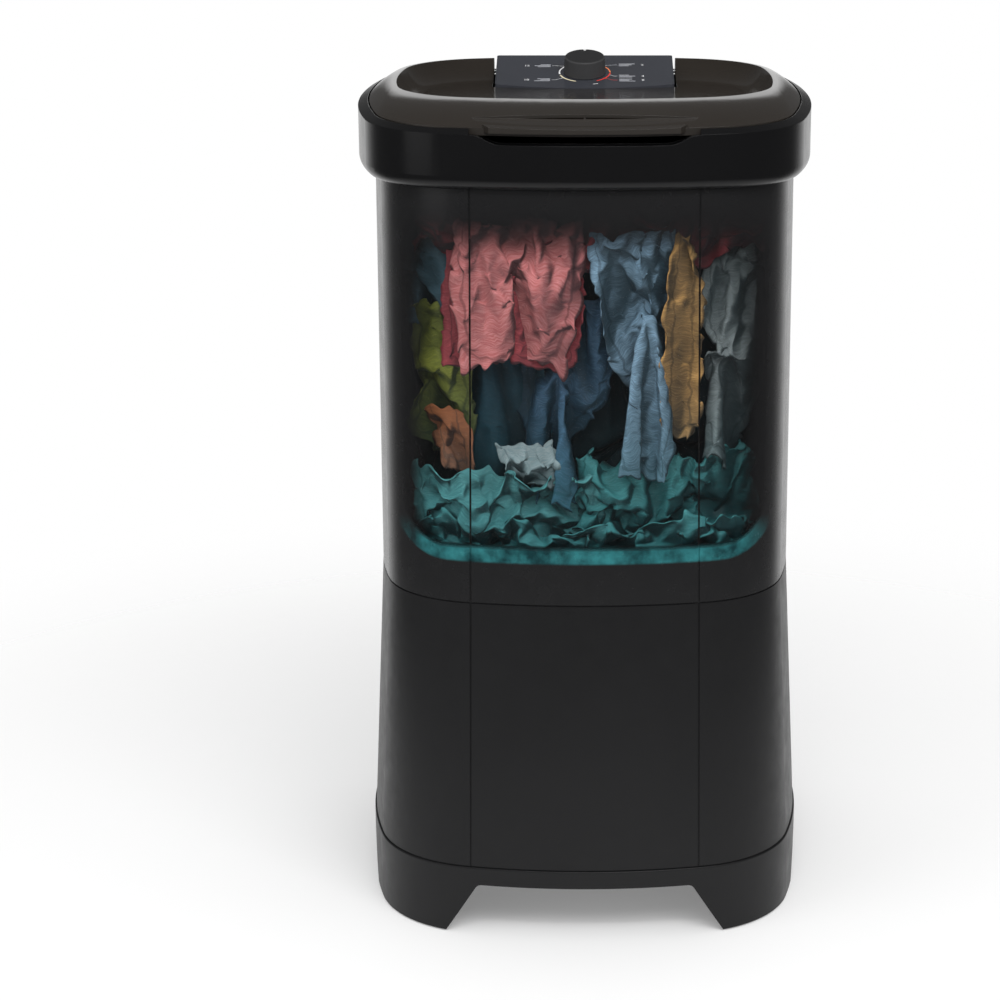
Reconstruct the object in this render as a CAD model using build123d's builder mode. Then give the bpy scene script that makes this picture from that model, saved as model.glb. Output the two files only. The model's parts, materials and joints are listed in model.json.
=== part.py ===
from build123d import *
from math import acos, atan2, cos, degrees, hypot, radians, sin, sqrt
import os

os.makedirs("parts", exist_ok=True)

# Top-loading washing machine with a pulsator, in millimetres.
# +X is to the right, the front faces -Y, +Z is up, and the floor is z = 0.

# Plan of the body: bowed front, back and sides joined by round corners
front_bow = 700.0
side_bow = 600.0
base_half_w = 280.0
base_half_d = 272.0
base_corner = 145.0
skirt_step = 2.0
seam_half_w = 261.5
seam_half_d = 250.0
seam_corner = 128.0
tub_half_w = 260.0
tub_half_d = 247.0
rim_half_w = 280.0
rim_half_d = 262.0
rim_corner = 127.0

# Heights of the main joints
base_height = 91.0
seam_height = 432.0
tub_top = 968.0
rim_bottom = 938.0
lip_height = 1021.5
lip_rise = 0.045

# Walls, gaps and fits
base_wall = 4.0
cabinet_wall = 3.5
tub_wall = 4.0
rim_wall = 3.0
lid_wall = 3.0
fit_gap = 0.4
boss_gap = 0.2
frame_gap = 1.0
running_gap = 0.05
taper_allowance = 0.6
seam_recess = 1.0
recess_depth = 1.6
groove_width = 2.4
groove_top_x = 134.5
groove_bottom_x = 142.0

# Screws
screw_r = 2.0
screw_head_r = 4.2
screw_head_h = 2.4
head_taper = 12.0

# Feet and arches
arch_height = 68.0
side_arch_height = 60.0
arch_round = 9.0
front_arch_top = 134.0
front_arch_foot = 176.0
side_arch_top = 66.0
side_arch_foot = 104.0
pad_stand = 2.0
pad_seat = 3.0
pad_margin = 13.0
foot_floor = 4.0
ledge_width = 16.0
tongue_height = 10.0
tongue_wall = 2.5
vent_pitch = 34.0
vent_row_pitch = 144.0
vents = (7, 2)
vent_size = (8.0, 90.0)

# Rear panel with its grille and cord gland
door_half_w = 120.0
door_low = 128.0
door_high = 396.0
door_wall = 2.5
door_lap = 9.0
grille_slots = 6
grille_pitch = 23.0
grille_rise = 100.0
grille_size = (7.5, 34.0)
grille_z = 232.0
gland_x = 78.0
gland_z = 158.0
gland_r = 9.0
gland_flange = 3.0
gland_bore_r = 4.5
gland_length = 18.0

# Tub floor and wash well
floor_top = 485.0
floor_wall = 4.0
floor_round = 40.0
well_r = 176.0
well_depth = 8.0
hub_hole_r = 22.5
post_r = 9.0
post_stand = 3.0
post_spots = [(-62.0, 55.0), (-62.0, -55.0), (208.0, 70.0), (208.0, -70.0)]

# Pipes through the tub
drain_x = -160.0
drain_y = 152.0
drain_r = 16.0
spigot_z = 460.0
spigot_bend = 22.0
spigot_end_y = 264.0
spigot_tail_r = 15.5
spigot_tail = 26.0
pipe_wall = 2.5
grate_lap = 4.0
grate_h = 2.0
grate_hole_r = 2.4
grate_ring_r = 8.8
grate_holes = 7
inlet_x = -150.0
inlet_z = 902.0
inlet_r = 13.2
inlet_nozzle = 14.0
inlet_seat = 4.0
inlet_bar = 2.4

# Lint filters in the tub's rear corners
filter_turn = 54.0
filter_stand = 2.2
filter_w = 43.0
filter_low = 770.0
filter_h = 145.0
filter_d = 11.0
filter_wall = 2.4
filter_bar = 2.0
filter_bars = 6
filter_round = 4.0
filter_frame = 7.2
rail_w = 6.0
rail_lip = 2.5
rail_gap = 0.4

# Lid seat, mouth and rear deck
lid_half_w = 266.0
lid_half_d = 249.5
lid_corner = 113.0
lid_gap = 2.0
seat_depth = 11.0
throat_half_w = 254.0
throat_half_d = 241.0
throat_corner = 122.0
mouth_back = 112.0
deck_top = 1000.0
rim_round = 17.0
bevel_width = 13.0
bevel_height = 6.5
hinge_y = 228.0
hinge_z = 1022.0
bumper_r = 3.2
bumper_x = 150.0
bumper_y = 60.0
bumper_inset = 3.5

# Front notch, finger pocket and the low rim behind the lid
notch_flat = 95.0
notch_end = 134.0
notch_low = 992.5
notch_high = 1003.5
finger_half_w = 118.0
finger_floor = 978.0
valley_half_w = 190.0
valley_top_half_w = 235.0
valley_drop = 6.5
valley_z = hinge_z - valley_drop
valley_top_z = 1034.0
pocket_half_w = 200.0
pocket_front = 205.0
pocket_grow = 4.0
pod_half_w = 98.0
pod_front = 137.0
pod_back = 231.0
pod_low = 962.0
frame_screw_x = 110.0
frame_screw_z = 960.0
boss_r = 6.0

# Lid: crest, dish and grip
lid_skirt = 9.0
top_rise = 0.02
crest_height = 1035.0
crest_half_w = 237.0
crest_half_d = 193.0
crest_y = 43.0
crest_corner = 115.0
crest_flat = 1.5
swell_share = 0.4
swell_lift = 0.62
dish_height = 1008.8
dish_half_w = 207.0
dish_half_d = 148.0
dish_y = 45.0
dish_corner = 80.0
scoop_share = 0.45
scoop_drop = 0.74
grip_half_w = 111.0
grip_back_half_w = 133.0
grip_back_y = -214.0
grip_front_y = -257.0
grip_z = 1010.5
grip_under_z = 1005.0
facet_back_z = 1018.0
lid_rib_w = 2.4
lid_rib_low = 1008.0
rib_spots = [-180.0, -90.0, 0.0, 90.0, 180.0]
notch_gap = 3.5
knuckle_r = 7.5
knuckle_end = 135.0
pin_r = 3.0
pin_start = 108.0
pin_end = 134.0

# Console, timer and knob
console_half_w = 116.5
console_back = 241.0
console_front = 127.0
console_bow = 480.0
console_rise = 0.262
console_top_y = 235.0
console_top_z = 1039.6
console_wall = 3.0
console_side = 12.5
console_screw_x = 110.0
console_screw_y = (165.0, 205.0)
fascia_depth = 2.5
fascia_inset = 1.5
fascia_gap = 0.15
knob_y = 181.0
knob_top_r = 26.0
knob_base_r = 27.5
knob_h = 22.0
knob_lift = 0.8
knob_wall = 2.4
knob_hub_r = 8.0
pointer_w = 4.0
shaft_r = 4.0
shaft_hole_r = 6.0
timer_w = 58.0
timer_d = 52.0
timer_h = 32.0
timer_round = 9.0
timer_tabs = (4, 2)
timer_tab = (1.0, 6.0)

# Pulsator
well_gap = 4.0
pulsator_lift = 2.0
pulsator_wall = 3.0
hub_r = 38.0
hub_h = 42.0
hub_crown_r = 17.0
hub_shoulder = 14.0
hub_foot_r = 61.0
hub_foot_h = 12.0
steep_wall = 8.0
disc_ring_r = 106.0
disc_ring_h = 7.0
disc_edge_h = 5.0
disc_round = 8.0
bell_r = 26.0
boss_wall_r = 14.0
blade_count = 5
blade_h = 26.0
blade_w = 15.0
blade_root_r = 23.0
blade_mid_r = 94.0
blade_end_r = 158.0
blade_sweep = 12.0
blade_drop = 5.0
hole_r = 4.0
hole_spot_r = 138.0
hole_ring_r = 13.0
hole_count = 6
hub_screw_r = 3.0
hub_screw_l = 16.0
hub_washer_r = 6.6
hub_hex_r = 5.1
hub_recess_r = 9.0
hub_recess_depth = 13.0
cap_h = 3.0

# Spindle and bearing housing
spindle_r = 6.0
spindle_socket = 21.0
spindle_tail = 18.0
spindle_tip = 0.6
neck_r = 22.0
neck_stand = 7.0
neck_room = 10.0
bush_r = 10.0
bush_l = 24.0
seal_r = 15.0
seal_h = 7.0
flange_wall = 6.0
flange_r = 55.0
flange_bolt_r = 44.0
flange_bolts = 4
flange_screw_r = 3.0
housing_l = 115.5
housing_r = 20.0
housing_cone = 10.0
housing_rib_w = 4.0
rib_count = 6

# Motor and its bracket
motor_x = 165.0
motor_r = 64.0
motor_h = 94.0
motor_step = 6.0
motor_band_low = 20.0
motor_band_h = 53.0
motor_round = 5.0
motor_bolt_x = 52.0
motor_bolt_y = 46.0
motor_bolt_r = 3.0
motor_lug_r = 8.0
motor_lug_h = 8.0
motor_vents = 8
motor_vent_ring = 37.0
motor_vent_size = (22.0, 5.0)
motor_vent_depth = 4.0
motor_window_r = 26.0
mount_h = 15.5
motor_shaft_r = 5.0
motor_shaft_tip = 4.0
bracket_wall = 2.5
bracket_flange = 14.0
plate_half_d = 85.0
capacitor_spot = (75.0, 62.0)
capacitor_r = 17.5
capacitor_h = 60.0
capacitor_drop = 5.0
capacitor_round = 1.5
capacitor_tab_h = 7.0
capacitor_tab = (0.8, 6.3)
clip_wall = 1.5
clip_margin = 1.0

# Belt drive
belt_z = 322.0
belt_depth = 7.0
belt_width = 10.0
belt_clear = 0.5
belt_slope = 0.344
big_pitch_r = 102.0
small_pitch_r = 23.0
pulley_proud = 1.0
pulley_lip = 2.0
pulley_hub_r = 20.0
web_half = 3.0
spoke_count = 5
spoke_w = 14.0
rim_web = 6.0
hub_web = 8.0
window_round = 4.0
nut_h = 6.0

# Sizes that follow from those above
tongue_inset = skirt_step + cabinet_wall + taper_allowance + fit_gap
tub_tongue_inset = tub_wall + fit_gap
well_floor = floor_top - well_depth
bracket_top = well_floor - floor_wall - post_stand
flange_top = bracket_top - bracket_wall
motor_high = flange_top - mount_h
motor_low = motor_high - motor_h
motor_shaft_low = belt_z - belt_width - motor_shaft_tip
pulsator_r = well_r - well_gap
pulsator_low = well_floor + pulsator_lift
hub_top = pulsator_low + hub_h
hub_recess_z = hub_top - hub_recess_depth
neck_top = well_floor + neck_stand
spindle_top = pulsator_low + spindle_socket
spindle_low = belt_z - spindle_tail
housing_low = flange_top - housing_l
capacitor_low = flange_top - capacitor_drop - capacitor_h
pulley_half = belt_width / 2 + belt_clear + (pulley_proud + belt_depth / 2) * belt_slope + pulley_lip
bow_room = front_bow / 10
back_reach = base_half_d + bow_room
frame_reach = rim_half_w + bow_room
console_screw_spots = [(side * console_screw_x, y) for side in (-1, 1) for y in console_screw_y]
sky = rim_bottom + rim_half_w / 2


def corner_centre(half_w, half_d, corner, front_r, side_r):
    """Centre of the corner arc that runs on from the front arc and the side arc."""
    front_y = half_d - front_r
    side_x = half_w - side_r
    apart = hypot(side_x, front_y)
    reach_f = front_r - corner
    reach_s = side_r - corner
    along = (reach_f**2 - reach_s**2 + apart**2) / (2 * apart)
    off = sqrt(reach_f**2 - along**2)
    ux, uy = side_x / apart, -front_y / apart
    return ux * along + uy * off, front_y + uy * along - ux * off


def plan_outline(half_w, half_d, corner, inset=0.0):
    """Closed plan of the body, drawn inside the named size by the inset."""
    w, d, r = half_w - inset, half_d - inset, corner - inset
    front_r, side_r = front_bow - inset, side_bow - inset
    cx, cy = corner_centre(w, d, r, front_r, side_r)
    rise = degrees(atan2(cy, cx - (w - side_r)))
    turn = degrees(atan2(cy - (d - front_r), cx))
    with BuildSketch() as plan:
        with BuildLine():
            CenterArc((w - side_r, 0), side_r, -rise, 2 * rise)
            CenterArc((cx, cy), r, rise, turn - rise)
            CenterArc((0, d - front_r), front_r, turn, 180 - 2 * turn)
            CenterArc((-cx, cy), r, 180 - turn, turn - rise)
            CenterArc((side_r - w, 0), side_r, 180 - rise, 2 * rise)
            CenterArc((-cx, -cy), r, 180 + rise, turn - rise)
            CenterArc((0, front_r - d), front_r, 180 + turn, 180 - 2 * turn)
            CenterArc((cx, -cy), r, 360 - turn, turn - rise)
        make_face()
    return plan.sketch


def plan_block(plan, low, high):
    """Straight block on a plan between two heights."""
    with BuildPart() as block:
        with BuildSketch(Plane.XY.offset(low)):
            add(plan)
        extrude(amount=high - low)
    return block.part


def plan_loft(low, high):
    """Ruled block between two plans, each given as (height, plan)."""
    with BuildPart() as block:
        for height, plan in (low, high):
            with BuildSketch(Plane.XY.offset(height)):
                add(plan)
        loft(ruled=True)
    return block.part


def between(low, high, share):
    return low + (high - low) * share


def tub_plan(height, inset=0.0):
    """Plan of the tub's outer wall at a height."""
    share = (height - seam_height) / (tub_top - seam_height)
    half_w = between(seam_half_w, tub_half_w, share)
    half_d = between(seam_half_d, tub_half_d, share)
    return plan_outline(half_w, half_d, seam_corner, inset)


def skirt_plan(height, inset=0.0):
    """Plan of the lower cabinet's outer wall at a height."""
    share = (height - base_height) / (seam_height - base_height)
    half_w = between(base_half_w - skirt_step, seam_half_w, share)
    half_d = between(base_half_d - skirt_step, seam_half_d, share)
    corner = between(base_corner - skirt_step, seam_corner, share)
    return plan_outline(half_w, half_d, corner, inset)


def tub_block(low, high, inset=0.0):
    return plan_loft((low, tub_plan(low, inset)), (high, tub_plan(high, inset)))


def skirt_block(low, high, inset=0.0):
    return plan_loft((low, skirt_plan(low, inset)), (high, skirt_plan(high, inset)))


def slab(x0, x1, y0, y1, z0, z1):
    """Plain box between two corners, for cutting."""
    size = (x1 - x0, y1 - y0, z1 - z0)
    centre = ((x0 + x1) / 2, (y0 + y1) / 2, (z0 + z1) / 2)
    return Pos(*centre) * Box(*size, mode=Mode.PRIVATE)


def groove_x(height):
    """How far the front grooves stand from the middle at a height."""
    share = (height - base_height) / (rim_bottom - base_height)
    return between(groove_bottom_x, groove_top_x, share)


def front_grooves(low, high):
    """Two upright cutters in front of the middle plane, leaning in towards the top."""
    with BuildPart() as cutter:
        with BuildSketch(Plane.XZ):
            with BuildLine():
                Polyline(
                    (groove_x(low) - groove_width / 2, low),
                    (groove_x(low) + groove_width / 2, low),
                    (groove_x(high) + groove_width / 2, high),
                    (groove_x(high) - groove_width / 2, high),
                    close=True,
                )
            make_face()
            mirror(about=Plane.YZ)
        extrude(amount=rim_half_d + bow_room)
    return cutter.part


def write(piece, name):
    piece.part.label = name
    export_step(piece.part, f"parts/{name}.step")


# Screws that join the base, the lower cabinet and the tub from inside

def joint_screws(inner_w, inner_d, height, length):
    """Screws at the sides and the front, pointing outwards, with their heads on a tongue."""
    with BuildPart() as screws:
        for direction, reach in (((1, 0, 0), inner_w), ((-1, 0, 0), inner_w), ((0, -1, 0), inner_d)):
            at = Plane(origin=(direction[0] * reach, direction[1] * reach, height), z_dir=direction)
            with BuildSketch(at):
                Circle(screw_head_r)
            extrude(amount=-screw_head_h, taper=head_taper)
            with BuildSketch(at):
                Circle(screw_r)
            extrude(amount=length)
    return screws


base_tongue = tongue_inset + tongue_wall
base_screws = joint_screws(
    base_half_w - base_tongue,
    base_half_d - base_tongue,
    base_height + tongue_height / 2,
    tongue_wall + cabinet_wall,
)
write(base_screws, "base_screws")

seam_tongue = tub_tongue_inset + tongue_wall
seam_screws = joint_screws(
    seam_half_w - seam_tongue,
    seam_half_d - seam_tongue,
    seam_height + tongue_height / 2,
    tongue_wall + tub_wall / 2,
)
write(seam_screws, "seam_screws")

# Base with four feet and an arch on each side

def arch_face(top, foot, height, grow=0.0):
    """Arch opening: slanted feet, flat top and round shoulders."""
    with BuildSketch() as face:
        with BuildLine():
            Polyline((-foot, 0), (-top, height), (top, height), (foot, 0), close=True)
        make_face()
        fillet(face.vertices().group_by(Axis.Y)[-1], arch_round)
        if grow:
            offset(amount=grow)
    return face.sketch


def arches(grow=0.0):
    """Cutters for the front-to-back and the side-to-side arch."""
    reach = rim_half_w + base_half_d
    with BuildPart() as cutter:
        with BuildSketch(Plane.XZ):
            add(arch_face(front_arch_top, front_arch_foot, arch_height, grow))
        extrude(amount=reach, both=True)
        with BuildSketch(Plane.YZ):
            add(arch_face(side_arch_top, side_arch_foot, side_arch_height, grow))
        extrude(amount=reach, both=True)
    return cutter.part


def base_plan(inset=0.0):
    return plan_outline(base_half_w, base_half_d, base_corner, inset)


base_inside = plan_block(base_plan(base_wall), pad_stand + pad_seat + foot_floor, base_height - base_wall)
base_inside -= arches(base_wall)
pad_cut = plan_block(base_plan(pad_margin), 0, pad_stand + pad_seat) - arches(pad_margin)

with BuildPart() as base:
    with BuildSketch(Plane.XY.offset(pad_stand)):
        add(base_plan())
    extrude(amount=base_height - pad_stand)
    fillet(base.faces().sort_by(Axis.Z)[-1].edges(), skirt_step)
    with BuildSketch(Plane.XY.offset(base_height)):
        add(base_plan(tongue_inset))
        add(base_plan(tongue_inset + tongue_wall), mode=Mode.SUBTRACT)
    extrude(amount=tongue_height)
    add(arches(), mode=Mode.SUBTRACT)
    add(base_inside, mode=Mode.SUBTRACT)
    add(pad_cut, mode=Mode.SUBTRACT)
    with BuildSketch(Plane.XY.offset(base_height - base_wall)):
        add(base_plan(ledge_width))
    extrude(amount=2 * base_wall, mode=Mode.SUBTRACT)
    with BuildSketch(Plane.XY.offset(side_arch_height)):
        with GridLocations(vent_pitch, vent_row_pitch, *vents):
            Rectangle(*vent_size)
    extrude(amount=base_wall + arch_height - side_arch_height, mode=Mode.SUBTRACT)
    add(base_screws.part, mode=Mode.SUBTRACT)
write(base, "base")

with BuildPart() as foot_pads:
    add(plan_block(base_plan(pad_margin), 0, pad_stand + pad_seat))
    add(arches(pad_margin), mode=Mode.SUBTRACT)
write(foot_pads, "foot_pads")

# Lower cabinet: flared skirt with a service opening at the back


def back_window(grow):
    return slab(
        -door_half_w - grow,
        door_half_w + grow,
        0,
        back_reach,
        door_low - grow,
        door_high + grow,
    )


door_ledge = skirt_block(base_height, seam_height, door_wall)
door_ledge -= skirt_block(base_height, seam_height, 2 * door_wall)
door_ledge = door_ledge & back_window(door_lap)
door_ledge -= back_window(-door_lap)
screw_spots = [
    (side * (door_half_w - door_lap / 2), height)
    for side in (-1, 1)
    for height in (door_low + 3 * door_lap, (door_low + door_high) / 2, door_high - 3 * door_lap)
]
with BuildPart() as door_holes:
    with BuildSketch(Plane.XZ):
        with Locations(*screw_spots):
            Circle(screw_r + boss_gap / 2)
    extrude(amount=-back_reach)

skirt_skin = skirt_block(base_height, seam_height) - skirt_block(base_height, seam_height, recess_depth)

with BuildPart() as lower_cabinet:
    add(skirt_block(base_height, seam_height))
    add(skirt_block(base_height, seam_height, cabinet_wall), mode=Mode.SUBTRACT)
    with BuildSketch(Plane.XY.offset(seam_height - 2 * cabinet_wall)):
        add(skirt_plan(seam_height, cabinet_wall / 2))
        add(skirt_plan(seam_height, tub_tongue_inset + tongue_wall), mode=Mode.SUBTRACT)
    extrude(amount=2 * cabinet_wall)
    with BuildSketch(Plane.XY.offset(seam_height)):
        add(skirt_plan(seam_height, tub_tongue_inset))
        add(skirt_plan(seam_height, tub_tongue_inset + tongue_wall), mode=Mode.SUBTRACT)
    extrude(amount=tongue_height)
    add(back_window(0), mode=Mode.SUBTRACT)
    add(door_ledge)
    add(door_holes.part, mode=Mode.SUBTRACT)
    add(skirt_skin & front_grooves(base_height, seam_height), mode=Mode.SUBTRACT)
    for low in (base_height, seam_height - seam_recess):
        lap = slab(-base_half_w, base_half_w, -base_half_d, base_half_d, low, low + seam_recess)
        add(skirt_skin & lap, mode=Mode.SUBTRACT)
    add(base_screws.part, mode=Mode.SUBTRACT)
    add(seam_screws.part, mode=Mode.SUBTRACT)
write(lower_cabinet, "lower_cabinet")


with BuildPart() as rear_panel:
    add(skirt_block(base_height, seam_height) & back_window(-fit_gap))
    add(skirt_block(base_height, seam_height, door_wall), mode=Mode.SUBTRACT)
    with BuildSketch(Plane.XZ):
        with Locations((0, grille_z)):
            with GridLocations(grille_pitch, grille_size[1], grille_slots, 1):
                Rectangle(*grille_size)
        with Locations((0, grille_z + grille_rise)):
            with GridLocations(grille_pitch, grille_size[1], grille_slots, 1):
                Rectangle(*grille_size)
        with Locations((gland_x, gland_z)):
            Circle(gland_r + fit_gap / 2)
    extrude(amount=-back_reach, mode=Mode.SUBTRACT)
    add(door_holes.part, mode=Mode.SUBTRACT)
write(rear_panel, "rear_panel")


def back_y(half_d, x, inset=0.0):
    """How far back a bowed rear wall of this half depth stands at a place."""
    return half_d - front_bow + sqrt((front_bow - inset) ** 2 - x**2)


def skirt_back_y(x, height):
    """How far back the lower cabinet's rear wall stands at a place."""
    share = (height - base_height) / (seam_height - base_height)
    return back_y(between(base_half_d - skirt_step, seam_half_d, share), x)


with BuildPart() as panel_screws:
    for x, height in screw_spots:
        seat_y = skirt_back_y(abs(x) - screw_head_r, height - screw_head_r)
        at = Plane(origin=(x, seat_y, height), z_dir=(0, 1, 0))
        with BuildSketch(at):
            Circle(screw_head_r)
        extrude(amount=screw_head_h, taper=head_taper)
        with BuildSketch(at):
            Circle(screw_r)
        extrude(amount=-4 * door_wall)
write(panel_screws, "panel_screws")

gland_reach = gland_r + gland_flange
gland_seat = skirt_back_y(gland_x - gland_reach, gland_z - gland_reach)
gland_at = Plane(origin=(gland_x, gland_seat, gland_z), z_dir=(0, 1, 0))
with BuildPart() as cord_gland:
    with BuildSketch(gland_at):
        Circle(gland_reach)
    extrude(amount=gland_flange)
    with BuildSketch(gland_at.offset(gland_flange - gland_length)):
        Circle(gland_r)
    extrude(amount=gland_length)
    with BuildSketch(gland_at.offset(gland_flange - gland_length)):
        Circle(gland_bore_r)
    extrude(amount=gland_length, mode=Mode.SUBTRACT)
write(cord_gland, "cord_gland")

# Screws through the back of the top frame into the tub

frame_screw_spots = [(-frame_screw_x, 0), (frame_screw_x, 0)]
screw_plane = Plane(origin=(0, 0, frame_screw_z), x_dir=(-1, 0, 0), z_dir=(0, 1, 0))
boss_y = back_y(tub_half_d, frame_screw_x - boss_r) + fit_gap
head_y = back_y(rim_half_d, frame_screw_x - screw_head_r)
with BuildPart() as frame_screws:
    with BuildSketch(screw_plane.offset(head_y)):
        with Locations(*frame_screw_spots):
            Circle(screw_head_r)
    extrude(amount=screw_head_h, taper=head_taper)
    with BuildSketch(screw_plane.offset(head_y)):
        with Locations(*frame_screw_spots):
            Circle(screw_r)
    extrude(amount=-(head_y - boss_y + tub_wall))
write(frame_screws, "frame_screws")

# Tub: upper body and wash tub in one moulding


def tub_inner_y(x, height):
    """How far back the tub's inner rear wall stands at a place."""
    share = (height - seam_height) / (tub_top - seam_height)
    return back_y(between(seam_half_d, tub_half_d, share), x, tub_wall)


def filter_plane(side):
    """Upright plane in a rear corner, facing into the tub, with its origin at the cassette's foot."""
    share = (filter_low + filter_h - seam_height) / (tub_top - seam_height)
    half_w = between(seam_half_w, tub_half_w, share) - tub_wall
    half_d = between(seam_half_d, tub_half_d, share) - tub_wall
    corner = seam_corner - tub_wall
    cx, cy = corner_centre(half_w, half_d, corner, front_bow - tub_wall, side_bow - tub_wall)
    ux, uy = cos(radians(filter_turn)), sin(radians(filter_turn))
    stand = corner - filter_stand
    return Plane(
        origin=(side * (cx + stand * ux), cy + stand * uy, filter_low),
        x_dir=(uy, -side * ux, 0),
        z_dir=(-side * ux, -uy, 0),
    )


def filter_rails(side):
    """Two rails with lips and a stop under the cassette, rooted in the middle of the wall."""
    half = filter_w / 2 + rail_gap
    at = filter_plane(side)
    with BuildPart() as rails:
        with BuildSketch(at.offset(-filter_stand - tub_wall)):
            with Locations((half + rail_w / 2, filter_h / 2), (-half - rail_w / 2, filter_h / 2)):
                Rectangle(rail_w, filter_h)
            with Locations((0, -rail_w / 2)):
                Rectangle(2 * half + 2 * rail_w, rail_w)
        extrude(amount=filter_stand + tub_wall + filter_d / 2 + rail_gap + filter_wall)
        with BuildSketch(at.offset(filter_d / 2 + rail_gap)):
            with Locations((half - rail_lip / 2, filter_h / 2), (rail_lip / 2 - half, filter_h / 2)):
                Rectangle(rail_lip, filter_h)
        extrude(amount=filter_wall)
        add(tub_block(seam_height, tub_top, tub_wall / 2), mode=Mode.INTERSECT)
    return rails.part


with BuildPart() as bowl_outside:
    add(tub_block(floor_top - floor_wall, tub_top))
    fillet(bowl_outside.faces().sort_by(Axis.Z)[0].edges(), floor_round + floor_wall)
with BuildPart() as bowl_inside:
    add(tub_block(floor_top, tub_top + rim_wall, tub_wall))
    fillet(bowl_inside.faces().sort_by(Axis.Z)[0].edges(), floor_round)
under_floor = tub_block(seam_height, floor_top + floor_round, tub_wall) - bowl_outside.part
tub_skin = tub_block(seam_height, tub_top) - tub_block(seam_height, tub_top, recess_depth)

with BuildPart() as tub:
    add(tub_block(seam_height, tub_top))
    add(bowl_inside.part, mode=Mode.SUBTRACT)
    add(under_floor, mode=Mode.SUBTRACT)
    with BuildSketch(Plane.XY.offset(floor_top - well_depth - floor_wall)):
        Circle(well_r + floor_wall)
    extrude(amount=well_depth)
    with BuildSketch(Plane.XY.offset(bracket_top)):
        with Locations(*post_spots):
            Circle(post_r)
    extrude(amount=floor_top - floor_wall - bracket_top)
    with BuildSketch(Plane.XY.offset(floor_top - well_depth)):
        Circle(well_r)
    extrude(amount=2 * well_depth, mode=Mode.SUBTRACT)
    with BuildSketch(Plane.XY.offset(bracket_top)):
        Circle(hub_hole_r)
        with Locations(*post_spots):
            Circle(screw_r + boss_gap)
        with Locations((drain_x, drain_y)):
            Circle(drain_r + boss_gap)
    extrude(amount=4 * well_depth, mode=Mode.SUBTRACT)
    with BuildSketch(Plane.XZ):
        with Locations((drain_x, spigot_z)):
            Circle(drain_r + boss_gap)
        with Locations((inlet_x, inlet_z)):
            Circle(inlet_r + boss_gap)
    extrude(amount=-back_reach, mode=Mode.SUBTRACT)
    add(tub_skin & front_grooves(seam_height, tub_top), mode=Mode.SUBTRACT)
    for side in (-1, 1):
        add(filter_rails(side))
    add(seam_screws.part, mode=Mode.SUBTRACT)
    lap = slab(-base_half_w, base_half_w, -base_half_d, base_half_d, seam_height, seam_height + seam_recess)
    add(tub_skin & lap, mode=Mode.SUBTRACT)
    add(frame_screws.part, mode=Mode.SUBTRACT)
write(tub, "tub")


# Top frame: rim, bevel, lid seat, throat wall and rear deck

def tilted(height, rise, y=0.0):
    """Plane that climbs towards the back, given by its height over the middle."""
    return Plane(origin=(0, y, height + rise * y), x_dir=(1, 0, 0), z_dir=(0, -rise, 1))


def rim_plan(inset=0.0):
    return plan_outline(rim_half_w, rim_half_d, rim_corner, inset)


def lid_plan(inset=0.0):
    return plan_outline(lid_half_w, lid_half_d, lid_corner, inset)


def throat_plan(inset=0.0):
    return plan_outline(throat_half_w, throat_half_d, throat_corner, inset)


lip_plane = tilted(lip_height, lip_rise)

with BuildPart() as rim_outside:
    add(plan_block(rim_plan(), rim_bottom, sky))
    fillet(rim_outside.faces().sort_by(Axis.Z)[0].edges(), rim_round)
    split(bisect_by=lip_plane, keep=Keep.BOTTOM)
    lip_face = rim_outside.faces().sort_by(Axis.Z)[-1]
    chamfer(lip_face.edges(), length=bevel_width, length2=bevel_height, reference=lip_face)

with BuildPart() as throat:
    add(plan_block(throat_plan(), rim_bottom, sky))
    add(
        slab(-frame_reach, frame_reach, mouth_back + rim_wall, frame_reach, rim_bottom, deck_top - rim_wall),
        mode=Mode.SUBTRACT,
    )

with BuildPart() as channel:
    add(plan_block(rim_plan(rim_wall), rim_bottom + rim_wall, sky))
    fillet(channel.faces().sort_by(Axis.Z)[0].edges(), rim_round - rim_wall)
    split(bisect_by=lip_plane.offset(-seat_depth - rim_wall), keep=Keep.BOTTOM)
    side_x = finger_half_w + rim_wall
    add(
        slab(-side_x, side_x, -frame_reach, -rim_half_d / 2, finger_floor - rim_wall, sky),
        mode=Mode.SUBTRACT,
    )
    side_x = pocket_half_w + rim_wall
    add(
        slab(-side_x, side_x, pocket_front - rim_wall, frame_reach, deck_top - rim_wall, sky),
        mode=Mode.SUBTRACT,
    )
    add(throat.part, mode=Mode.SUBTRACT)

with BuildPart() as seat:
    add(plan_block(lid_plan(-lid_gap), rim_bottom, sky))
    split(bisect_by=lip_plane.offset(-seat_depth), keep=Keep.TOP)

with BuildPart() as mouth:
    add(plan_block(throat_plan(rim_wall), rim_bottom - rim_wall, sky))
    add(
        slab(-frame_reach, frame_reach, mouth_back, frame_reach, rim_bottom - rim_wall, deck_top),
        mode=Mode.SUBTRACT,
    )

finger_pocket = plan_block(rim_plan(rim_wall), finger_floor, sky) - throat.part
finger_pocket = finger_pocket & slab(
    -finger_half_w,
    finger_half_w,
    -frame_reach,
    -rim_half_d / 2,
    finger_floor,
    sky,
)
hinge_pocket = plan_block(lid_plan(-lid_gap - pocket_grow), deck_top, sky)
hinge_pocket = hinge_pocket & slab(-pocket_half_w, pocket_half_w, pocket_front, frame_reach, deck_top, sky)

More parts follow.
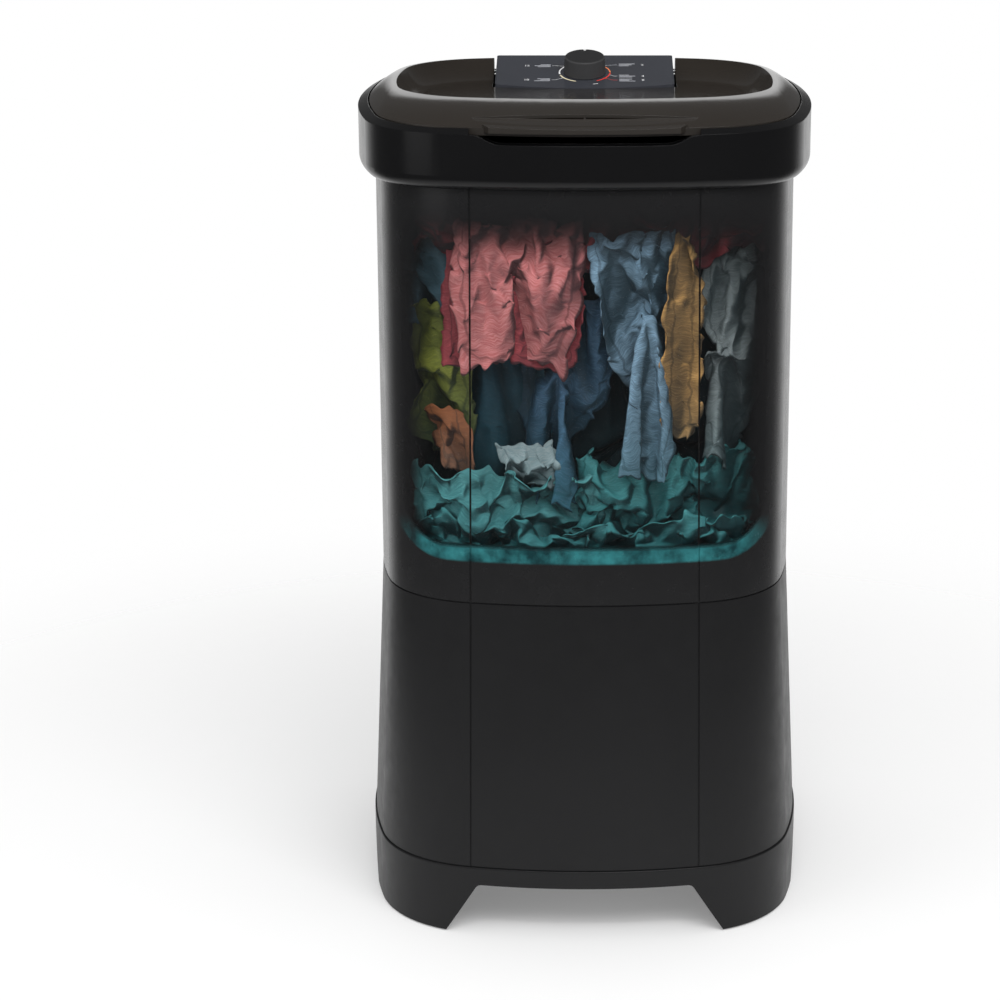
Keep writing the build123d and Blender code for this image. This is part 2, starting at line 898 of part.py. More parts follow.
with BuildPart() as edge_cuts:
    with BuildSketch(Plane.XZ):
        with BuildLine():
            Line((-notch_flat, notch_low), (notch_flat, notch_low))
            Spline((notch_flat, notch_low), (notch_end, notch_high), tangents=((1, 0), (1, 0)))
            Polyline((notch_end, notch_high), (notch_end, sky), (-notch_end, sky), (-notch_end, notch_high))
            Spline((-notch_end, notch_high), (-notch_flat, notch_low), tangents=((1, 0), (1, 0)))
        make_face()
    extrude(amount=frame_reach)
    add(slab(-frame_reach, frame_reach, -rim_half_d / 2, 0, rim_bottom, 2 * sky), mode=Mode.SUBTRACT)
    with BuildSketch(Plane.XZ):
        with BuildLine():
            Polyline(
                (-valley_half_w, valley_z),
                (valley_half_w, valley_z),
                (valley_top_half_w, valley_top_z),
                (valley_top_half_w, sky),
                (-valley_top_half_w, sky),
                (-valley_top_half_w, valley_top_z),
                close=True,
            )
        make_face()
    extrude(amount=-frame_reach)
    add(slab(-frame_reach, frame_reach, 0, pocket_front, rim_bottom, 2 * sky), mode=Mode.SUBTRACT)

with BuildPart() as top_frame:
    add(rim_outside.part)
    add(channel.part, mode=Mode.SUBTRACT)
    with BuildSketch(Plane.XY.offset(rim_bottom)):
        add(plan_outline(tub_half_w, tub_half_d, seam_corner, -frame_gap))
        add(throat_plan(), mode=Mode.SUBTRACT)
    extrude(amount=rim_round, mode=Mode.SUBTRACT)
    with BuildSketch(Plane.XY.offset(rim_bottom)):
        add(throat_plan(-frame_gap))
        with Locations((0, mouth_back + rim_wall - frame_reach)):
            Rectangle(2 * frame_reach, 2 * frame_reach, mode=Mode.SUBTRACT)
    extrude(amount=rim_wall, mode=Mode.SUBTRACT)
    add(seat.part, mode=Mode.SUBTRACT)
    add(mouth.part, mode=Mode.SUBTRACT)
    add(hinge_pocket, mode=Mode.SUBTRACT)
    add(finger_pocket, mode=Mode.SUBTRACT)
    add(edge_cuts.part, mode=Mode.SUBTRACT)
    add(slab(-pod_half_w, pod_half_w, pod_front, pod_back, pod_low, deck_top))
    add(
        slab(
            rim_wall - pod_half_w,
            pod_half_w - rim_wall,
            pod_front + rim_wall,
            pod_back - rim_wall,
            pod_low + rim_wall,
            sky,
        ),
        mode=Mode.SUBTRACT,
    )
    with BuildSketch(screw_plane.offset(boss_y)):
        with Locations(*frame_screw_spots):
            Circle(boss_r)
    extrude(amount=rim_half_d - tub_half_d - rim_wall)
    with BuildSketch(screw_plane.offset(boss_y)):
        with Locations(*frame_screw_spots):
            Circle(screw_r + boss_gap)
    extrude(amount=frame_reach, mode=Mode.SUBTRACT)
    with BuildSketch(Plane.XY.offset(deck_top)):
        with Locations(*console_screw_spots):
            Circle(screw_r + boss_gap)
    extrude(amount=-rim_wall, mode=Mode.SUBTRACT)
write(top_frame, "top_frame")


# Lid: raised crest round a dish, front grip, horns beside the console

def console_plan(inset=0.0):
    """Console seen from above: straight back and sides, bowed front."""
    half_w, back, front = console_half_w - inset, console_back - inset, console_front + inset
    side_y = front + console_bow - sqrt(console_bow**2 - half_w**2)
    with BuildSketch() as plan:
        with BuildLine():
            Polyline((-half_w, side_y), (-half_w, back), (half_w, back), (half_w, side_y))
            ThreePointArc((half_w, side_y), (0, front), (-half_w, side_y))
        make_face()
    return plan.sketch


def crest_plan(inset=0.0):
    return plan_outline(crest_half_w, crest_half_d, crest_corner, inset)


def dish_plan(inset=0.0):
    return plan_outline(dish_half_w, dish_half_d, dish_corner, inset)


def blend_plan(outer, inner, share, inset):
    """Outline between two others, each given as (half_w, half_d, corner)."""
    half_w, half_d, corner = (between(a, b, share) for a, b in zip(outer, inner))
    return plan_outline(half_w, half_d, corner, inset)


lid_size = (lid_half_w, lid_half_d, lid_corner)
crest_size = (crest_half_w, crest_half_d, crest_corner)
dish_size = (dish_half_w, dish_half_d, dish_corner)


def lid_dome(inset, drop):
    """Everything under the lid's border, from the skirt's foot to the crest."""
    swell_z = between(lip_height, crest_height, swell_lift)
    swell_rise = between(lip_rise, top_rise, swell_lift)
    with BuildPart() as dome:
        add(plan_block(lid_plan(inset), rim_bottom, sky))
        split(bisect_by=lip_plane.offset(-drop), keep=Keep.BOTTOM)
        split(bisect_by=lip_plane.offset(-lid_skirt - drop / 3), keep=Keep.TOP)
        with BuildSketch(tilted(lip_height - drop, lip_rise)):
            add(lid_plan(inset))
        with BuildSketch(tilted(swell_z - drop, swell_rise, crest_y * swell_share)):
            add(blend_plan(lid_size, crest_size, swell_share, inset))
        with BuildSketch(tilted(crest_height - drop, top_rise, crest_y)):
            add(crest_plan(inset))
        loft()
    return dome.part


def lid_hollow(grow, drop):
    """Everything over the dish, from its floor to above the crest."""
    scoop_z = between(crest_height, dish_height, scoop_drop)
    scoop_y = between(crest_y, dish_y, scoop_share)
    with BuildPart() as hollow:
        with BuildSketch(tilted(dish_height - drop, top_rise, dish_y)):
            add(dish_plan(-grow))
        with BuildSketch(tilted(scoop_z - drop, top_rise, scoop_y)):
            add(blend_plan(crest_size, dish_size, scoop_share, crest_flat - grow))
        with BuildSketch(tilted(crest_height, top_rise, crest_y)):
            add(crest_plan(crest_flat - grow))
        loft()
        with BuildSketch(tilted(crest_height, top_rise, crest_y)):
            add(crest_plan(crest_flat - grow))
        extrude(amount=bevel_width)
    return hollow.part


dome = lid_dome(0, 0)
dome_in = lid_dome(lid_wall, lid_wall)
dish = lid_hollow(0, 0)
dish_in = lid_hollow(lid_wall, lid_wall)

facet_slope = (facet_back_z - grip_z) / (grip_back_y - grip_front_y)
facet = Plane(origin=(0, grip_front_y, grip_z), x_dir=(1, 0, 0), z_dir=(0, -facet_slope, 1))


def grip_prism(plane, keep):
    """Wedge-ended block across the lid's front, above or below the facet."""
    front_bow_y = grip_front_y + front_bow - sqrt(front_bow**2 - grip_half_w**2)
    with BuildPart() as prism:
        with BuildSketch(Plane.XY.offset(grip_under_z)):
            with BuildLine():
                Polyline(
                    (grip_half_w, front_bow_y),
                    (grip_back_half_w, grip_back_y),
                    (-grip_back_half_w, grip_back_y),
                    (-grip_half_w, front_bow_y),
                )
                ThreePointArc((-grip_half_w, front_bow_y), (0, grip_front_y), (grip_half_w, front_bow_y))
            make_face()
        extrude(amount=sky - grip_under_z)
        split(bisect_by=plane, keep=keep)
    return prism.part


facet_cut = grip_prism(facet, Keep.TOP)
facet_cut_in = grip_prism(facet.offset(-lid_wall), Keep.TOP)
grip_lip = grip_prism(facet, Keep.BOTTOM) - plan_block(lid_plan(lid_wall), rim_bottom, sky)


def console_notch(grow):
    """Room for the console in the lid, open at the back."""
    half_w = console_half_w + grow
    behind = slab(-half_w, half_w, console_top_y, frame_reach, rim_bottom, sky)
    return plan_block(console_plan(-grow), rim_bottom, sky) + behind


shell_gap = dome_in - dish_in - facet_cut_in - console_notch(notch_gap + lid_wall)
for x in rib_spots:
    shell_gap -= slab(x - lid_rib_w / 2, x + lid_rib_w / 2, -frame_reach, 0, lid_rib_low, sky)

with BuildPart() as dish_floor:
    add(dish_in)
    split(bisect_by=lip_plane.offset(-lid_skirt / 2), keep=Keep.BOTTOM)
with BuildPart() as lid:
    add(dome)
    add(dish_floor.part)
    add(dish, mode=Mode.SUBTRACT)
    add(facet_cut, mode=Mode.SUBTRACT)
    add(console_notch(notch_gap), mode=Mode.SUBTRACT)
    add(shell_gap, mode=Mode.SUBTRACT)
    add(grip_lip)
    for side in (-1, 1):
        knuckle_x = side * (console_half_w + notch_gap)
        with BuildSketch(Plane(origin=(knuckle_x, hinge_y, hinge_z), z_dir=(side, 0, 0))):
            Circle(knuckle_r)
        extrude(amount=knuckle_end - console_half_w - notch_gap)
    with BuildSketch(Plane(origin=(0, hinge_y, hinge_z), z_dir=(1, 0, 0))):
        Circle(pin_r + running_gap)
    extrude(amount=pin_end + fit_gap, both=True, mode=Mode.SUBTRACT)
write(lid, "lid")


# Lid bumpers on the seat, under the skirt

bumper_edge_y = front_bow - lid_half_d - sqrt((front_bow - bumper_inset) ** 2 - bumper_x**2)
bumper_edge_x = lid_half_w - side_bow + sqrt((side_bow - bumper_inset) ** 2 - bumper_y**2)

with BuildPart() as lid_bumpers:
    with BuildSketch(lip_plane.offset(-seat_depth)):
        for side in (-1, 1):
            with Locations((side * bumper_x, bumper_edge_y), (side * bumper_edge_x, bumper_y)):
                Circle(bumper_r)
    extrude(amount=seat_depth - lid_skirt - 2 * boss_gap)
write(lid_bumpers, "lid_bumpers")

# Lid hinge pins, one in each side of the console

with BuildPart() as lid_hinge_pins:
    for side in (-1, 1):
        with BuildSketch(Plane(origin=(side * pin_start, hinge_y, hinge_z), z_dir=(side, 0, 0))):
            Circle(pin_r)
        extrude(amount=pin_end - pin_start)
write(lid_hinge_pins, "lid_hinge_pins")

# Console: housing, fascia, timer and knob


console_top = tilted(console_top_z - console_rise * console_top_y, console_rise)
knob_z = console_top_z - console_rise * (console_top_y - knob_y)
knob_plane = Plane(origin=(0, knob_y, knob_z), x_dir=(1, 0, 0), z_dir=(0, -console_rise, 1))


def console_block(inset, low, drop):
    """Block on the console's plan, cut off under its slanted top."""
    with BuildPart() as block:
        add(plan_block(console_plan(inset), low, sky + bevel_width))
        split(bisect_by=console_top.offset(-drop), keep=Keep.BOTTOM)
    return block.part


def console_over(inset, drop):
    """Block on the console's plan, from a drop under its slanted top upwards."""
    with BuildPart() as block:
        add(plan_block(console_plan(inset), rim_bottom, sky + bevel_width))
        split(bisect_by=console_top.offset(-drop), keep=Keep.TOP)
    return block.part


with BuildPart() as console_housing:
    add(console_block(0, deck_top, 0))
    fillet(console_housing.edges().filter_by(Axis.Z), console_wall)
    console_room = console_block(console_wall, deck_top - console_wall, fascia_depth + console_wall)
    side_x = console_half_w - console_side
    console_room = console_room & slab(-side_x, side_x, 0, frame_reach, rim_bottom, sky)
    add(console_room, mode=Mode.SUBTRACT)
    add(console_over(fascia_inset, fascia_depth), mode=Mode.SUBTRACT)
    with BuildSketch(knob_plane.offset(-fascia_depth - 3 * console_wall)):
        Circle(shaft_hole_r)
    extrude(amount=4 * console_wall, mode=Mode.SUBTRACT)
    for side in (-1, 1):
        with BuildSketch(Plane(origin=(side * pin_start, hinge_y, hinge_z), z_dir=(side, 0, 0))):
            Circle(pin_r)
        extrude(amount=console_half_w, mode=Mode.SUBTRACT)
    with BuildSketch(Plane.XY.offset(deck_top)):
        with Locations(*console_screw_spots):
            Circle(screw_r)
    extrude(amount=2 * screw_head_r, mode=Mode.SUBTRACT)
write(console_housing, "console_housing")

with BuildPart() as fascia_plate:
    add(console_over(fascia_inset + fascia_gap, fascia_depth))
    split(bisect_by=console_top, keep=Keep.BOTTOM)
    with BuildSketch(knob_plane.offset(-2 * fascia_depth)):
        Circle(shaft_hole_r)
    extrude(amount=3 * fascia_depth, mode=Mode.SUBTRACT)
write(fascia_plate, "fascia_plate")

with BuildPart() as console_screws:
    with BuildSketch(Plane.XY.offset(deck_top - rim_wall)):
        with Locations(*console_screw_spots):
            Circle(screw_head_r)
    extrude(amount=-screw_head_h, taper=head_taper)
    with BuildSketch(Plane.XY.offset(deck_top - rim_wall)):
        with Locations(*console_screw_spots):
            Circle(screw_r)
    extrude(amount=rim_wall + 2 * screw_head_r)
write(console_screws, "console_screws")

timer_plane = knob_plane.offset(-fascia_depth - console_wall)
with BuildPart() as timer_body:
    with BuildSketch(timer_plane):
        RectangleRounded(timer_w, timer_d, timer_round)
    extrude(amount=-timer_h)
    fillet(timer_body.faces().sort_by(Axis.Z)[0].edges(), console_wall)
    with BuildSketch(timer_plane):
        Circle(shaft_r + running_gap)
    extrude(amount=-timer_h / 2, mode=Mode.SUBTRACT)
    with BuildSketch(timer_plane.offset(-timer_h)):
        with GridLocations(timer_w / 6, timer_d / 3, *timer_tabs):
            Rectangle(*timer_tab)
    extrude(amount=-2 * console_wall)
write(timer_body, "timer_body")

with BuildPart() as timer_shaft:
    with BuildSketch(timer_plane.offset(-timer_h / 2 + fit_gap)):
        Circle(shaft_r)
    extrude(amount=timer_h / 2 - fit_gap + console_wall + fascia_depth + knob_lift)
    with BuildSketch(knob_plane.offset(knob_lift)):
        Circle(shaft_r)
        with Locations((0, shaft_r)):
            Rectangle(2 * shaft_r, shaft_r, mode=Mode.SUBTRACT)
    extrude(amount=knob_h - 2 * knob_wall)
write(timer_shaft, "timer_shaft")

with BuildPart() as timer_knob:
    with BuildSketch(knob_plane.offset(knob_lift)):
        Circle(knob_base_r)
    with BuildSketch(knob_plane.offset(knob_lift + knob_h)):
        Circle(knob_top_r)
    loft()
    fillet(timer_knob.edges().sort_by(Axis.Z)[-1], knob_wall)
    with BuildSketch(knob_plane.offset(knob_lift)):
        Circle(knob_top_r - knob_wall)
        Circle(knob_hub_r, mode=Mode.SUBTRACT)
    extrude(amount=knob_h - knob_wall, mode=Mode.SUBTRACT)
    with BuildSketch(knob_plane.offset(knob_lift)):
        Circle(shaft_r)
        with Locations((0, shaft_r)):
            Rectangle(2 * shaft_r, shaft_r, mode=Mode.SUBTRACT)
    extrude(amount=knob_h - 2 * knob_wall, mode=Mode.SUBTRACT)
    with BuildSketch(knob_plane.offset(knob_lift + knob_h)):
        with Locations((0, knob_top_r)):
            Rectangle(pointer_w, knob_top_r / 2)
    extrude(amount=-knob_wall / 2, mode=Mode.SUBTRACT)
write(timer_knob, "timer_knob")


# Lint filters: cassettes that lift out of rails on the tub's rear wall

for side, name in ((-1, "lint_filter_left"), (1, "lint_filter_right")):
    at = filter_plane(side)
    with BuildPart() as lint_filter:
        with BuildSketch(at.offset(fit_gap)):
            with Locations((0, filter_h / 2 + fit_gap)):
                Rectangle(filter_w, filter_h)
        extrude(amount=filter_d / 2 - fit_gap)
        with BuildSketch(at.offset(filter_d / 2)):
            with Locations((0, filter_h / 2 + fit_gap)):
                RectangleRounded(filter_w - 2 * rail_lip - 4 * fit_gap, filter_h, filter_round)
        extrude(amount=filter_d)
        facing = Axis(origin=at.origin, direction=at.z_dir)
        fillet(lint_filter.faces().sort_by(facing)[-1].edges(), filter_wall)
        opening_w, opening_h = filter_w - 2 * filter_frame, filter_h - 2 * filter_frame
        with BuildSketch(at):
            with Locations((0, filter_h / 2)):
                Rectangle(opening_w, opening_h)
        extrude(amount=1.5 * filter_d - filter_wall, mode=Mode.SUBTRACT)
        with BuildSketch(at):
            with Locations((0, filter_h / 2)):
                with GridLocations(opening_w / filter_bars, 1, filter_bars, 1):
                    Rectangle(opening_w / filter_bars - filter_bar, opening_h - 2 * filter_wall)
        extrude(amount=2 * filter_d, mode=Mode.SUBTRACT)
    write(lint_filter, name)


# Pulsator: dished disc with curved blades, a bell hub and drain holes

with BuildPart() as pulsator_blank:
    with BuildSketch(Plane.XZ):
        with BuildLine():
            Line((0, hub_top), (hub_crown_r, hub_top))
            Spline(
                (hub_crown_r, hub_top),
                (hub_r, hub_top - hub_shoulder),
                (hub_foot_r, pulsator_low + hub_foot_h),
                (disc_ring_r, pulsator_low + disc_ring_h),
                tangents=((1, 0), (1, -0.03)),
            )
            Line(
                (disc_ring_r, pulsator_low + disc_ring_h),
                (pulsator_r - disc_round, pulsator_low + disc_edge_h),
            )
            RadiusArc(
                (pulsator_r - disc_round, pulsator_low + disc_edge_h),
                (pulsator_r, pulsator_low),
                disc_round,
            )
            Polyline((pulsator_r, pulsator_low), (0, pulsator_low), (0, hub_top))
        make_face()
    revolve(axis=Axis.Z)


with BuildPart() as blade:
    for height, width in ((pulsator_low + pulsator_wall, blade_w), (hub_top, blade_w / 3)):
        with BuildSketch(Plane.XY.offset(height)):
            with BuildLine():
                ThreePointArc((blade_root_r, 0), (blade_mid_r, blade_sweep), (blade_end_r, 0))
            trace(line_width=width)
    loft(ruled=True)
with BuildPart() as blade_room:
    with BuildSketch(Plane.XZ):
        with BuildLine():
            Polyline(
                (0, pulsator_low + pulsator_wall),
                (0, hub_top - blade_drop),
                (hub_r, hub_top - blade_drop),
                (disc_ring_r, pulsator_low + blade_h),
                (blade_end_r, pulsator_low + blade_h / 2),
                (blade_end_r, pulsator_low + pulsator_wall),
                close=True,
            )
        make_face()
    revolve(axis=Axis.Z)
blade_body = blade.part & blade_room.part

with BuildPart() as pulsator:
    add(pulsator_blank.part)
    for turn in range(blade_count):
        add(blade_body.rotate(Axis.Z, turn * 360 / blade_count))
    with BuildSketch(Plane.XZ):
        with BuildLine():
            Polyline(
                (bell_r + pulsator_wall, pulsator_low),
                (bell_r + pulsator_wall, hub_top - hub_shoulder - steep_wall),
                (hub_r, hub_top - hub_shoulder - steep_wall),
                (hub_foot_r, pulsator_low + hub_foot_h - pulsator_wall),
                (disc_ring_r, pulsator_low + disc_ring_h - pulsator_wall),
                (pulsator_r - disc_round - pulsator_wall, pulsator_low + disc_edge_h - pulsator_wall),
                (pulsator_r - disc_round - pulsator_wall, pulsator_low),
                close=True,
            )
        make_face()
        with BuildLine():
            Polyline(
                (boss_wall_r, pulsator_low),
                (boss_wall_r, neck_top + neck_room),
                (bell_r, neck_top + neck_room),
                (bell_r, pulsator_low),
                close=True,
            )
        make_face()
    revolve(axis=Axis.Z, mode=Mode.SUBTRACT)
    with BuildSketch(Plane.XY.offset(pulsator_low)):
        Circle(boss_wall_r)
    extrude(amount=neck_top + pulsator_lift - pulsator_low, mode=Mode.SUBTRACT)
    with BuildSketch(Plane.XY.offset(pulsator_low)):
        Circle(spindle_r)
    extrude(amount=spindle_top - pulsator_low, mode=Mode.SUBTRACT)
    with BuildSketch(Plane.XY.offset(spindle_top)):
        Circle(hub_screw_r + boss_gap)
    extrude(amount=hub_top - spindle_top, mode=Mode.SUBTRACT)
    with BuildSketch(Plane.XY.offset(hub_recess_z)):
        Circle(hub_recess_r)
    extrude(amount=hub_top - hub_recess_z, mode=Mode.SUBTRACT)
    with BuildSketch(Plane.XY.offset(pulsator_low)):
        with PolarLocations(hole_spot_r, blade_count, start_angle=180 / blade_count):
            with PolarLocations(hole_ring_r, hole_count):
                Circle(hole_r)
            Circle(hole_r)
    extrude(amount=blade_h, mode=Mode.SUBTRACT)
write(pulsator, "pulsator")

with BuildPart() as pulsator_screw:
    with BuildSketch(Plane.XY.offset(hub_recess_z)):
        Circle(hub_washer_r)
    extrude(amount=hub_screw_r)
    with BuildSketch(Plane.XY.offset(hub_recess_z + hub_screw_r)):
        RegularPolygon(hub_hex_r, 6)
    extrude(amount=hub_screw_r / 2)
    with BuildSketch(Plane.XY.offset(hub_recess_z)):
        Circle(hub_screw_r)
    extrude(amount=-hub_screw_l)
write(pulsator_screw, "pulsator_screw")

with BuildPart() as hub_cap:
    with BuildSketch(Plane.XY.offset(hub_top - cap_h)):
        Circle(hub_recess_r - boss_gap / 2)
    extrude(amount=cap_h)
    fillet(hub_cap.edges().sort_by(Axis.Z)[-1], cap_h / 2)
write(hub_cap, "hub_cap")

# Spindle in its housing, with bushes and a seal

with BuildPart() as spindle:
    with BuildSketch(Plane.XY.offset(spindle_low)):
        Circle(spindle_r)
    extrude(amount=spindle_top - spindle_low)
    chamfer(spindle.edges().filter_by(GeomType.CIRCLE), spindle_tip)
    with BuildSketch(Plane.XY.offset(spindle_top)):
        Circle(hub_screw_r)
    extrude(amount=-hub_screw_l, mode=Mode.SUBTRACT)
write(spindle, "spindle")

with BuildPart() as bearing_housing:
    with BuildSketch(Plane.XZ):
        with BuildLine():
            Polyline(
                (0, housing_low),
                (housing_r, housing_low),
                (housing_r, flange_top - flange_wall - housing_cone),
                (housing_r + housing_cone, flange_top - flange_wall),
                (flange_r, flange_top - flange_wall),
                (flange_r, flange_top),
                (neck_r, flange_top),
                (neck_r, neck_top),
                (0, neck_top),
                close=True,
            )
        make_face()
    revolve(axis=Axis.Z)
    with BuildSketch(Plane.XY.offset(housing_low)):
        Circle(bush_r)
    extrude(amount=neck_top - housing_low, mode=Mode.SUBTRACT)
    with BuildSketch(Plane.XY.offset(neck_top)):
        Circle(seal_r)
    extrude(amount=-seal_h, mode=Mode.SUBTRACT)
    with BuildSketch(Plane.XY.offset(flange_top)):
        with PolarLocations(flange_bolt_r, flange_bolts, start_angle=45):
            Circle(flange_screw_r)
    extrude(amount=-flange_wall, mode=Mode.SUBTRACT)
    for k in range(rib_count):
        turn = radians(360 * k / rib_count)
        out = Plane(origin=(0, 0, 0), x_dir=(cos(turn), sin(turn), 0), z_dir=(sin(turn), -cos(turn), 0))
        with BuildSketch(out):
            with BuildLine():
                Polyline(
                    (housing_r - housing_rib_w / 2, housing_low + bush_l),
                    (housing_r, housing_low + bush_l),
                    (flange_r - housing_rib_w, flange_top - flange_wall),
                    (housing_r - housing_rib_w / 2, flange_top - flange_wall),
                    close=True,
                )
            make_face()
        extrude(amount=housing_rib_w / 2, both=True)
write(bearing_housing, "bearing_housing")


def ring(low, height, outer, inner):
    """Plain bush about the middle line."""
    with BuildPart() as bush:
        with BuildSketch(Plane.XY.offset(low)):
            Circle(outer)
            Circle(inner, mode=Mode.SUBTRACT)
        extrude(amount=height)
    return bush


upper_bush = ring(neck_top - seal_h - bush_l, bush_l, bush_r, spindle_r + running_gap)
write(upper_bush, "upper_bush")
lower_bush = ring(housing_low, bush_l, bush_r, spindle_r + running_gap)
write(lower_bush, "lower_bush")
shaft_seal = ring(neck_top - seal_h, seal_h, seal_r, spindle_r + running_gap)
write(shaft_seal, "shaft_seal")

# Motor bracket under the tub, with the motor, its mounts and the capacitor

motor_bolt_spots = [
    (motor_x + x_side * motor_bolt_x, y_side * motor_bolt_y)
    for x_side in (-1, 1)
    for y_side in (-1, 1)
]
plate_x0 = post_spots[0][0] - 2 * post_r
plate_x1 = post_spots[2][0] + 2 * post_r
plate_mid = (plate_x0 + plate_x1) / 2

with BuildPart() as motor_bracket:
    with BuildSketch(Plane.XY.offset(bracket_top - bracket_wall)):
        with Locations((plate_mid, 0)):
            RectangleRounded(plate_x1 - plate_x0, 2 * plate_half_d, post_r)
        Circle(neck_r + fit_gap, mode=Mode.SUBTRACT)
        with PolarLocations(flange_bolt_r, flange_bolts, start_angle=45):
            Circle(flange_screw_r, mode=Mode.SUBTRACT)
        with Locations(*post_spots):
            Circle(screw_r + boss_gap, mode=Mode.SUBTRACT)
        with Locations(*motor_bolt_spots):
            Circle(motor_bolt_r + boss_gap, mode=Mode.SUBTRACT)
        with Locations((motor_x, 0)):
            Circle(motor_window_r, mode=Mode.SUBTRACT)
    extrude(amount=bracket_wall)
    for side in (-1, 1):
        with BuildSketch(Plane.XY.offset(bracket_top - bracket_wall - bracket_flange)):
            with Locations((plate_mid, side * (plate_half_d - bracket_wall / 2))):
                Rectangle(plate_x1 - plate_x0 - 2 * post_r, bracket_wall)
        extrude(amount=bracket_flange)
write(motor_bracket, "motor_bracket")

with BuildPart() as bracket_bolts:
    with BuildSketch(Plane.XY.offset(bracket_top - bracket_wall)):
        with Locations(*post_spots):
            RegularPolygon(2 * screw_r, 6)
    extrude(amount=-1.5 * screw_r)
    with BuildSketch(Plane.XY.offset(bracket_top - bracket_wall)):
        with Locations(*post_spots):
            Circle(screw_r)
    extrude(amount=bracket_wall + 4 * screw_r)
write(bracket_bolts, "bracket_bolts")

with BuildPart() as bearing_bolts:
    with BuildSketch(Plane.XY.offset(flange_top - flange_wall)):
        with PolarLocations(flange_bolt_r, flange_bolts, start_angle=45):
            RegularPolygon(2 * flange_screw_r, 6)
    extrude(amount=-1.5 * flange_screw_r)
    with BuildSketch(Plane.XY.offset(flange_top - flange_wall)):
        with PolarLocations(flange_bolt_r, flange_bolts, start_angle=45):
            Circle(flange_screw_r)
    extrude(amount=flange_wall + bracket_wall)
write(bearing_bolts, "bearing_bolts")

with BuildPart() as motor_housing:
    with BuildSketch(Plane.XY.offset(motor_low)):
        with Locations((motor_x, 0)):
            Circle(motor_r - motor_step)
    extrude(amount=motor_h)
    with BuildSketch(Plane.XY.offset(motor_low + motor_band_low)):
        with Locations((motor_x, 0)):
            Circle(motor_r)
    extrude(amount=motor_band_h)
    for end in (0, -1):
        fillet(motor_housing.edges().filter_by(GeomType.CIRCLE).group_by(Axis.Z)[end], motor_round)
    with BuildSketch(Plane.XY.offset(motor_high - motor_lug_h)):
        with Locations(*motor_bolt_spots):
            Circle(motor_lug_r)
        for x, y in motor_bolt_spots:
            with BuildLine():
                Line((motor_x, 0), (x, y))
            trace(line_width=2 * motor_lug_r)
        with Locations(*motor_bolt_spots):
            Circle(motor_bolt_r, mode=Mode.SUBTRACT)
    extrude(amount=motor_lug_h)
    with BuildSketch(Plane.XY.offset(motor_low)):
        with Locations((motor_x, 0)):
            Circle(motor_shaft_r + running_gap)
    extrude(amount=motor_h / 2, mode=Mode.SUBTRACT)
    with BuildSketch(Plane.XY.offset(motor_low)):
        with Locations((motor_x, 0)):
            with PolarLocations(motor_vent_ring, motor_vents):
                SlotOverall(*motor_vent_size)
    extrude(amount=motor_vent_depth, mode=Mode.SUBTRACT)
write(motor_housing, "motor_housing")

with BuildPart() as motor_mounts:
    with BuildSketch(Plane.XY.offset(motor_high)):
        with Locations(*motor_bolt_spots):
            Circle(motor_lug_r)
            Circle(motor_bolt_r + boss_gap, mode=Mode.SUBTRACT)
    extrude(amount=bracket_top - bracket_wall - motor_high)
write(motor_mounts, "motor_mounts")

with BuildPart() as motor_bolts:
    with BuildSketch(Plane.XY.offset(motor_high - motor_lug_h)):
        with Locations(*motor_bolt_spots):
            RegularPolygon(2 * motor_bolt_r, 6)
    extrude(amount=-1.5 * motor_bolt_r)
    with BuildSketch(Plane.XY.offset(motor_high - motor_lug_h)):
        with Locations(*motor_bolt_spots):
            Circle(motor_bolt_r)
    extrude(amount=bracket_top - motor_high + motor_lug_h)
write(motor_bolts, "motor_bolts")

with BuildPart() as motor_shaft:
    with BuildSketch(Plane.XY.offset(motor_shaft_low)):
        with Locations((motor_x, 0)):
            Circle(motor_shaft_r)
    extrude(amount=motor_low + motor_h / 2 - motor_round - motor_shaft_low)
write(motor_shaft, "motor_shaft")

# Belt drive: two grooved pulleys and the belt between them


def pulley_profile(pitch_r, bore_r, x):
    """Half section of a V-pulley about an upright line at x."""
    outer = pitch_r + belt_depth / 2 + pulley_proud
    root = pitch_r - belt_depth / 2 - belt_clear
    half_out = belt_width / 2 + belt_clear + (pulley_proud + belt_depth / 2) * belt_slope
    half_root = belt_width / 2 + belt_clear - (belt_depth / 2 + belt_clear) * belt_slope
    half_rim = half_out + pulley_lip
    with BuildSketch(Plane.XZ) as half:
        with BuildLine():
            Polyline(
                (x + bore_r, belt_z - half_rim),
                (x + outer, belt_z - half_rim),
                (x + outer, belt_z - half_out),
                (x + root, belt_z - half_root),
                (x + root, belt_z + half_root),
                (x + outer, belt_z + half_out),
                (x + outer, belt_z + half_rim),
                (x + bore_r, belt_z + half_rim),
                close=True,
            )
        make_face()
    return half.sketch


with BuildPart() as drive_pulley:
    with BuildSketch(Plane.XZ):
        add(pulley_profile(big_pitch_r, spindle_r, 0))
    revolve(axis=Axis.Z)
    web_out = big_pitch_r - belt_depth - pulley_lip
    with BuildSketch(Plane.XY.offset(belt_z + web_half)):
        Circle(web_out)
        Circle(pulley_hub_r, mode=Mode.SUBTRACT)
    extrude(amount=2 * belt_width, mode=Mode.SUBTRACT)
    with BuildSketch(Plane.XY.offset(belt_z - web_half)):
        Circle(web_out)
        Circle(pulley_hub_r, mode=Mode.SUBTRACT)
    extrude(amount=-2 * belt_width, mode=Mode.SUBTRACT)
    with BuildSketch(Plane.XY.offset(belt_z - web_half)) as windows:
        Circle(web_out - rim_web)
        Circle(pulley_hub_r + hub_web, mode=Mode.SUBTRACT)
        with PolarLocations(web_out / 2, spoke_count):
            Rectangle(web_out, spoke_w, mode=Mode.SUBTRACT)
        fillet(windows.vertices(), window_round)
    extrude(amount=2 * web_half, mode=Mode.SUBTRACT)
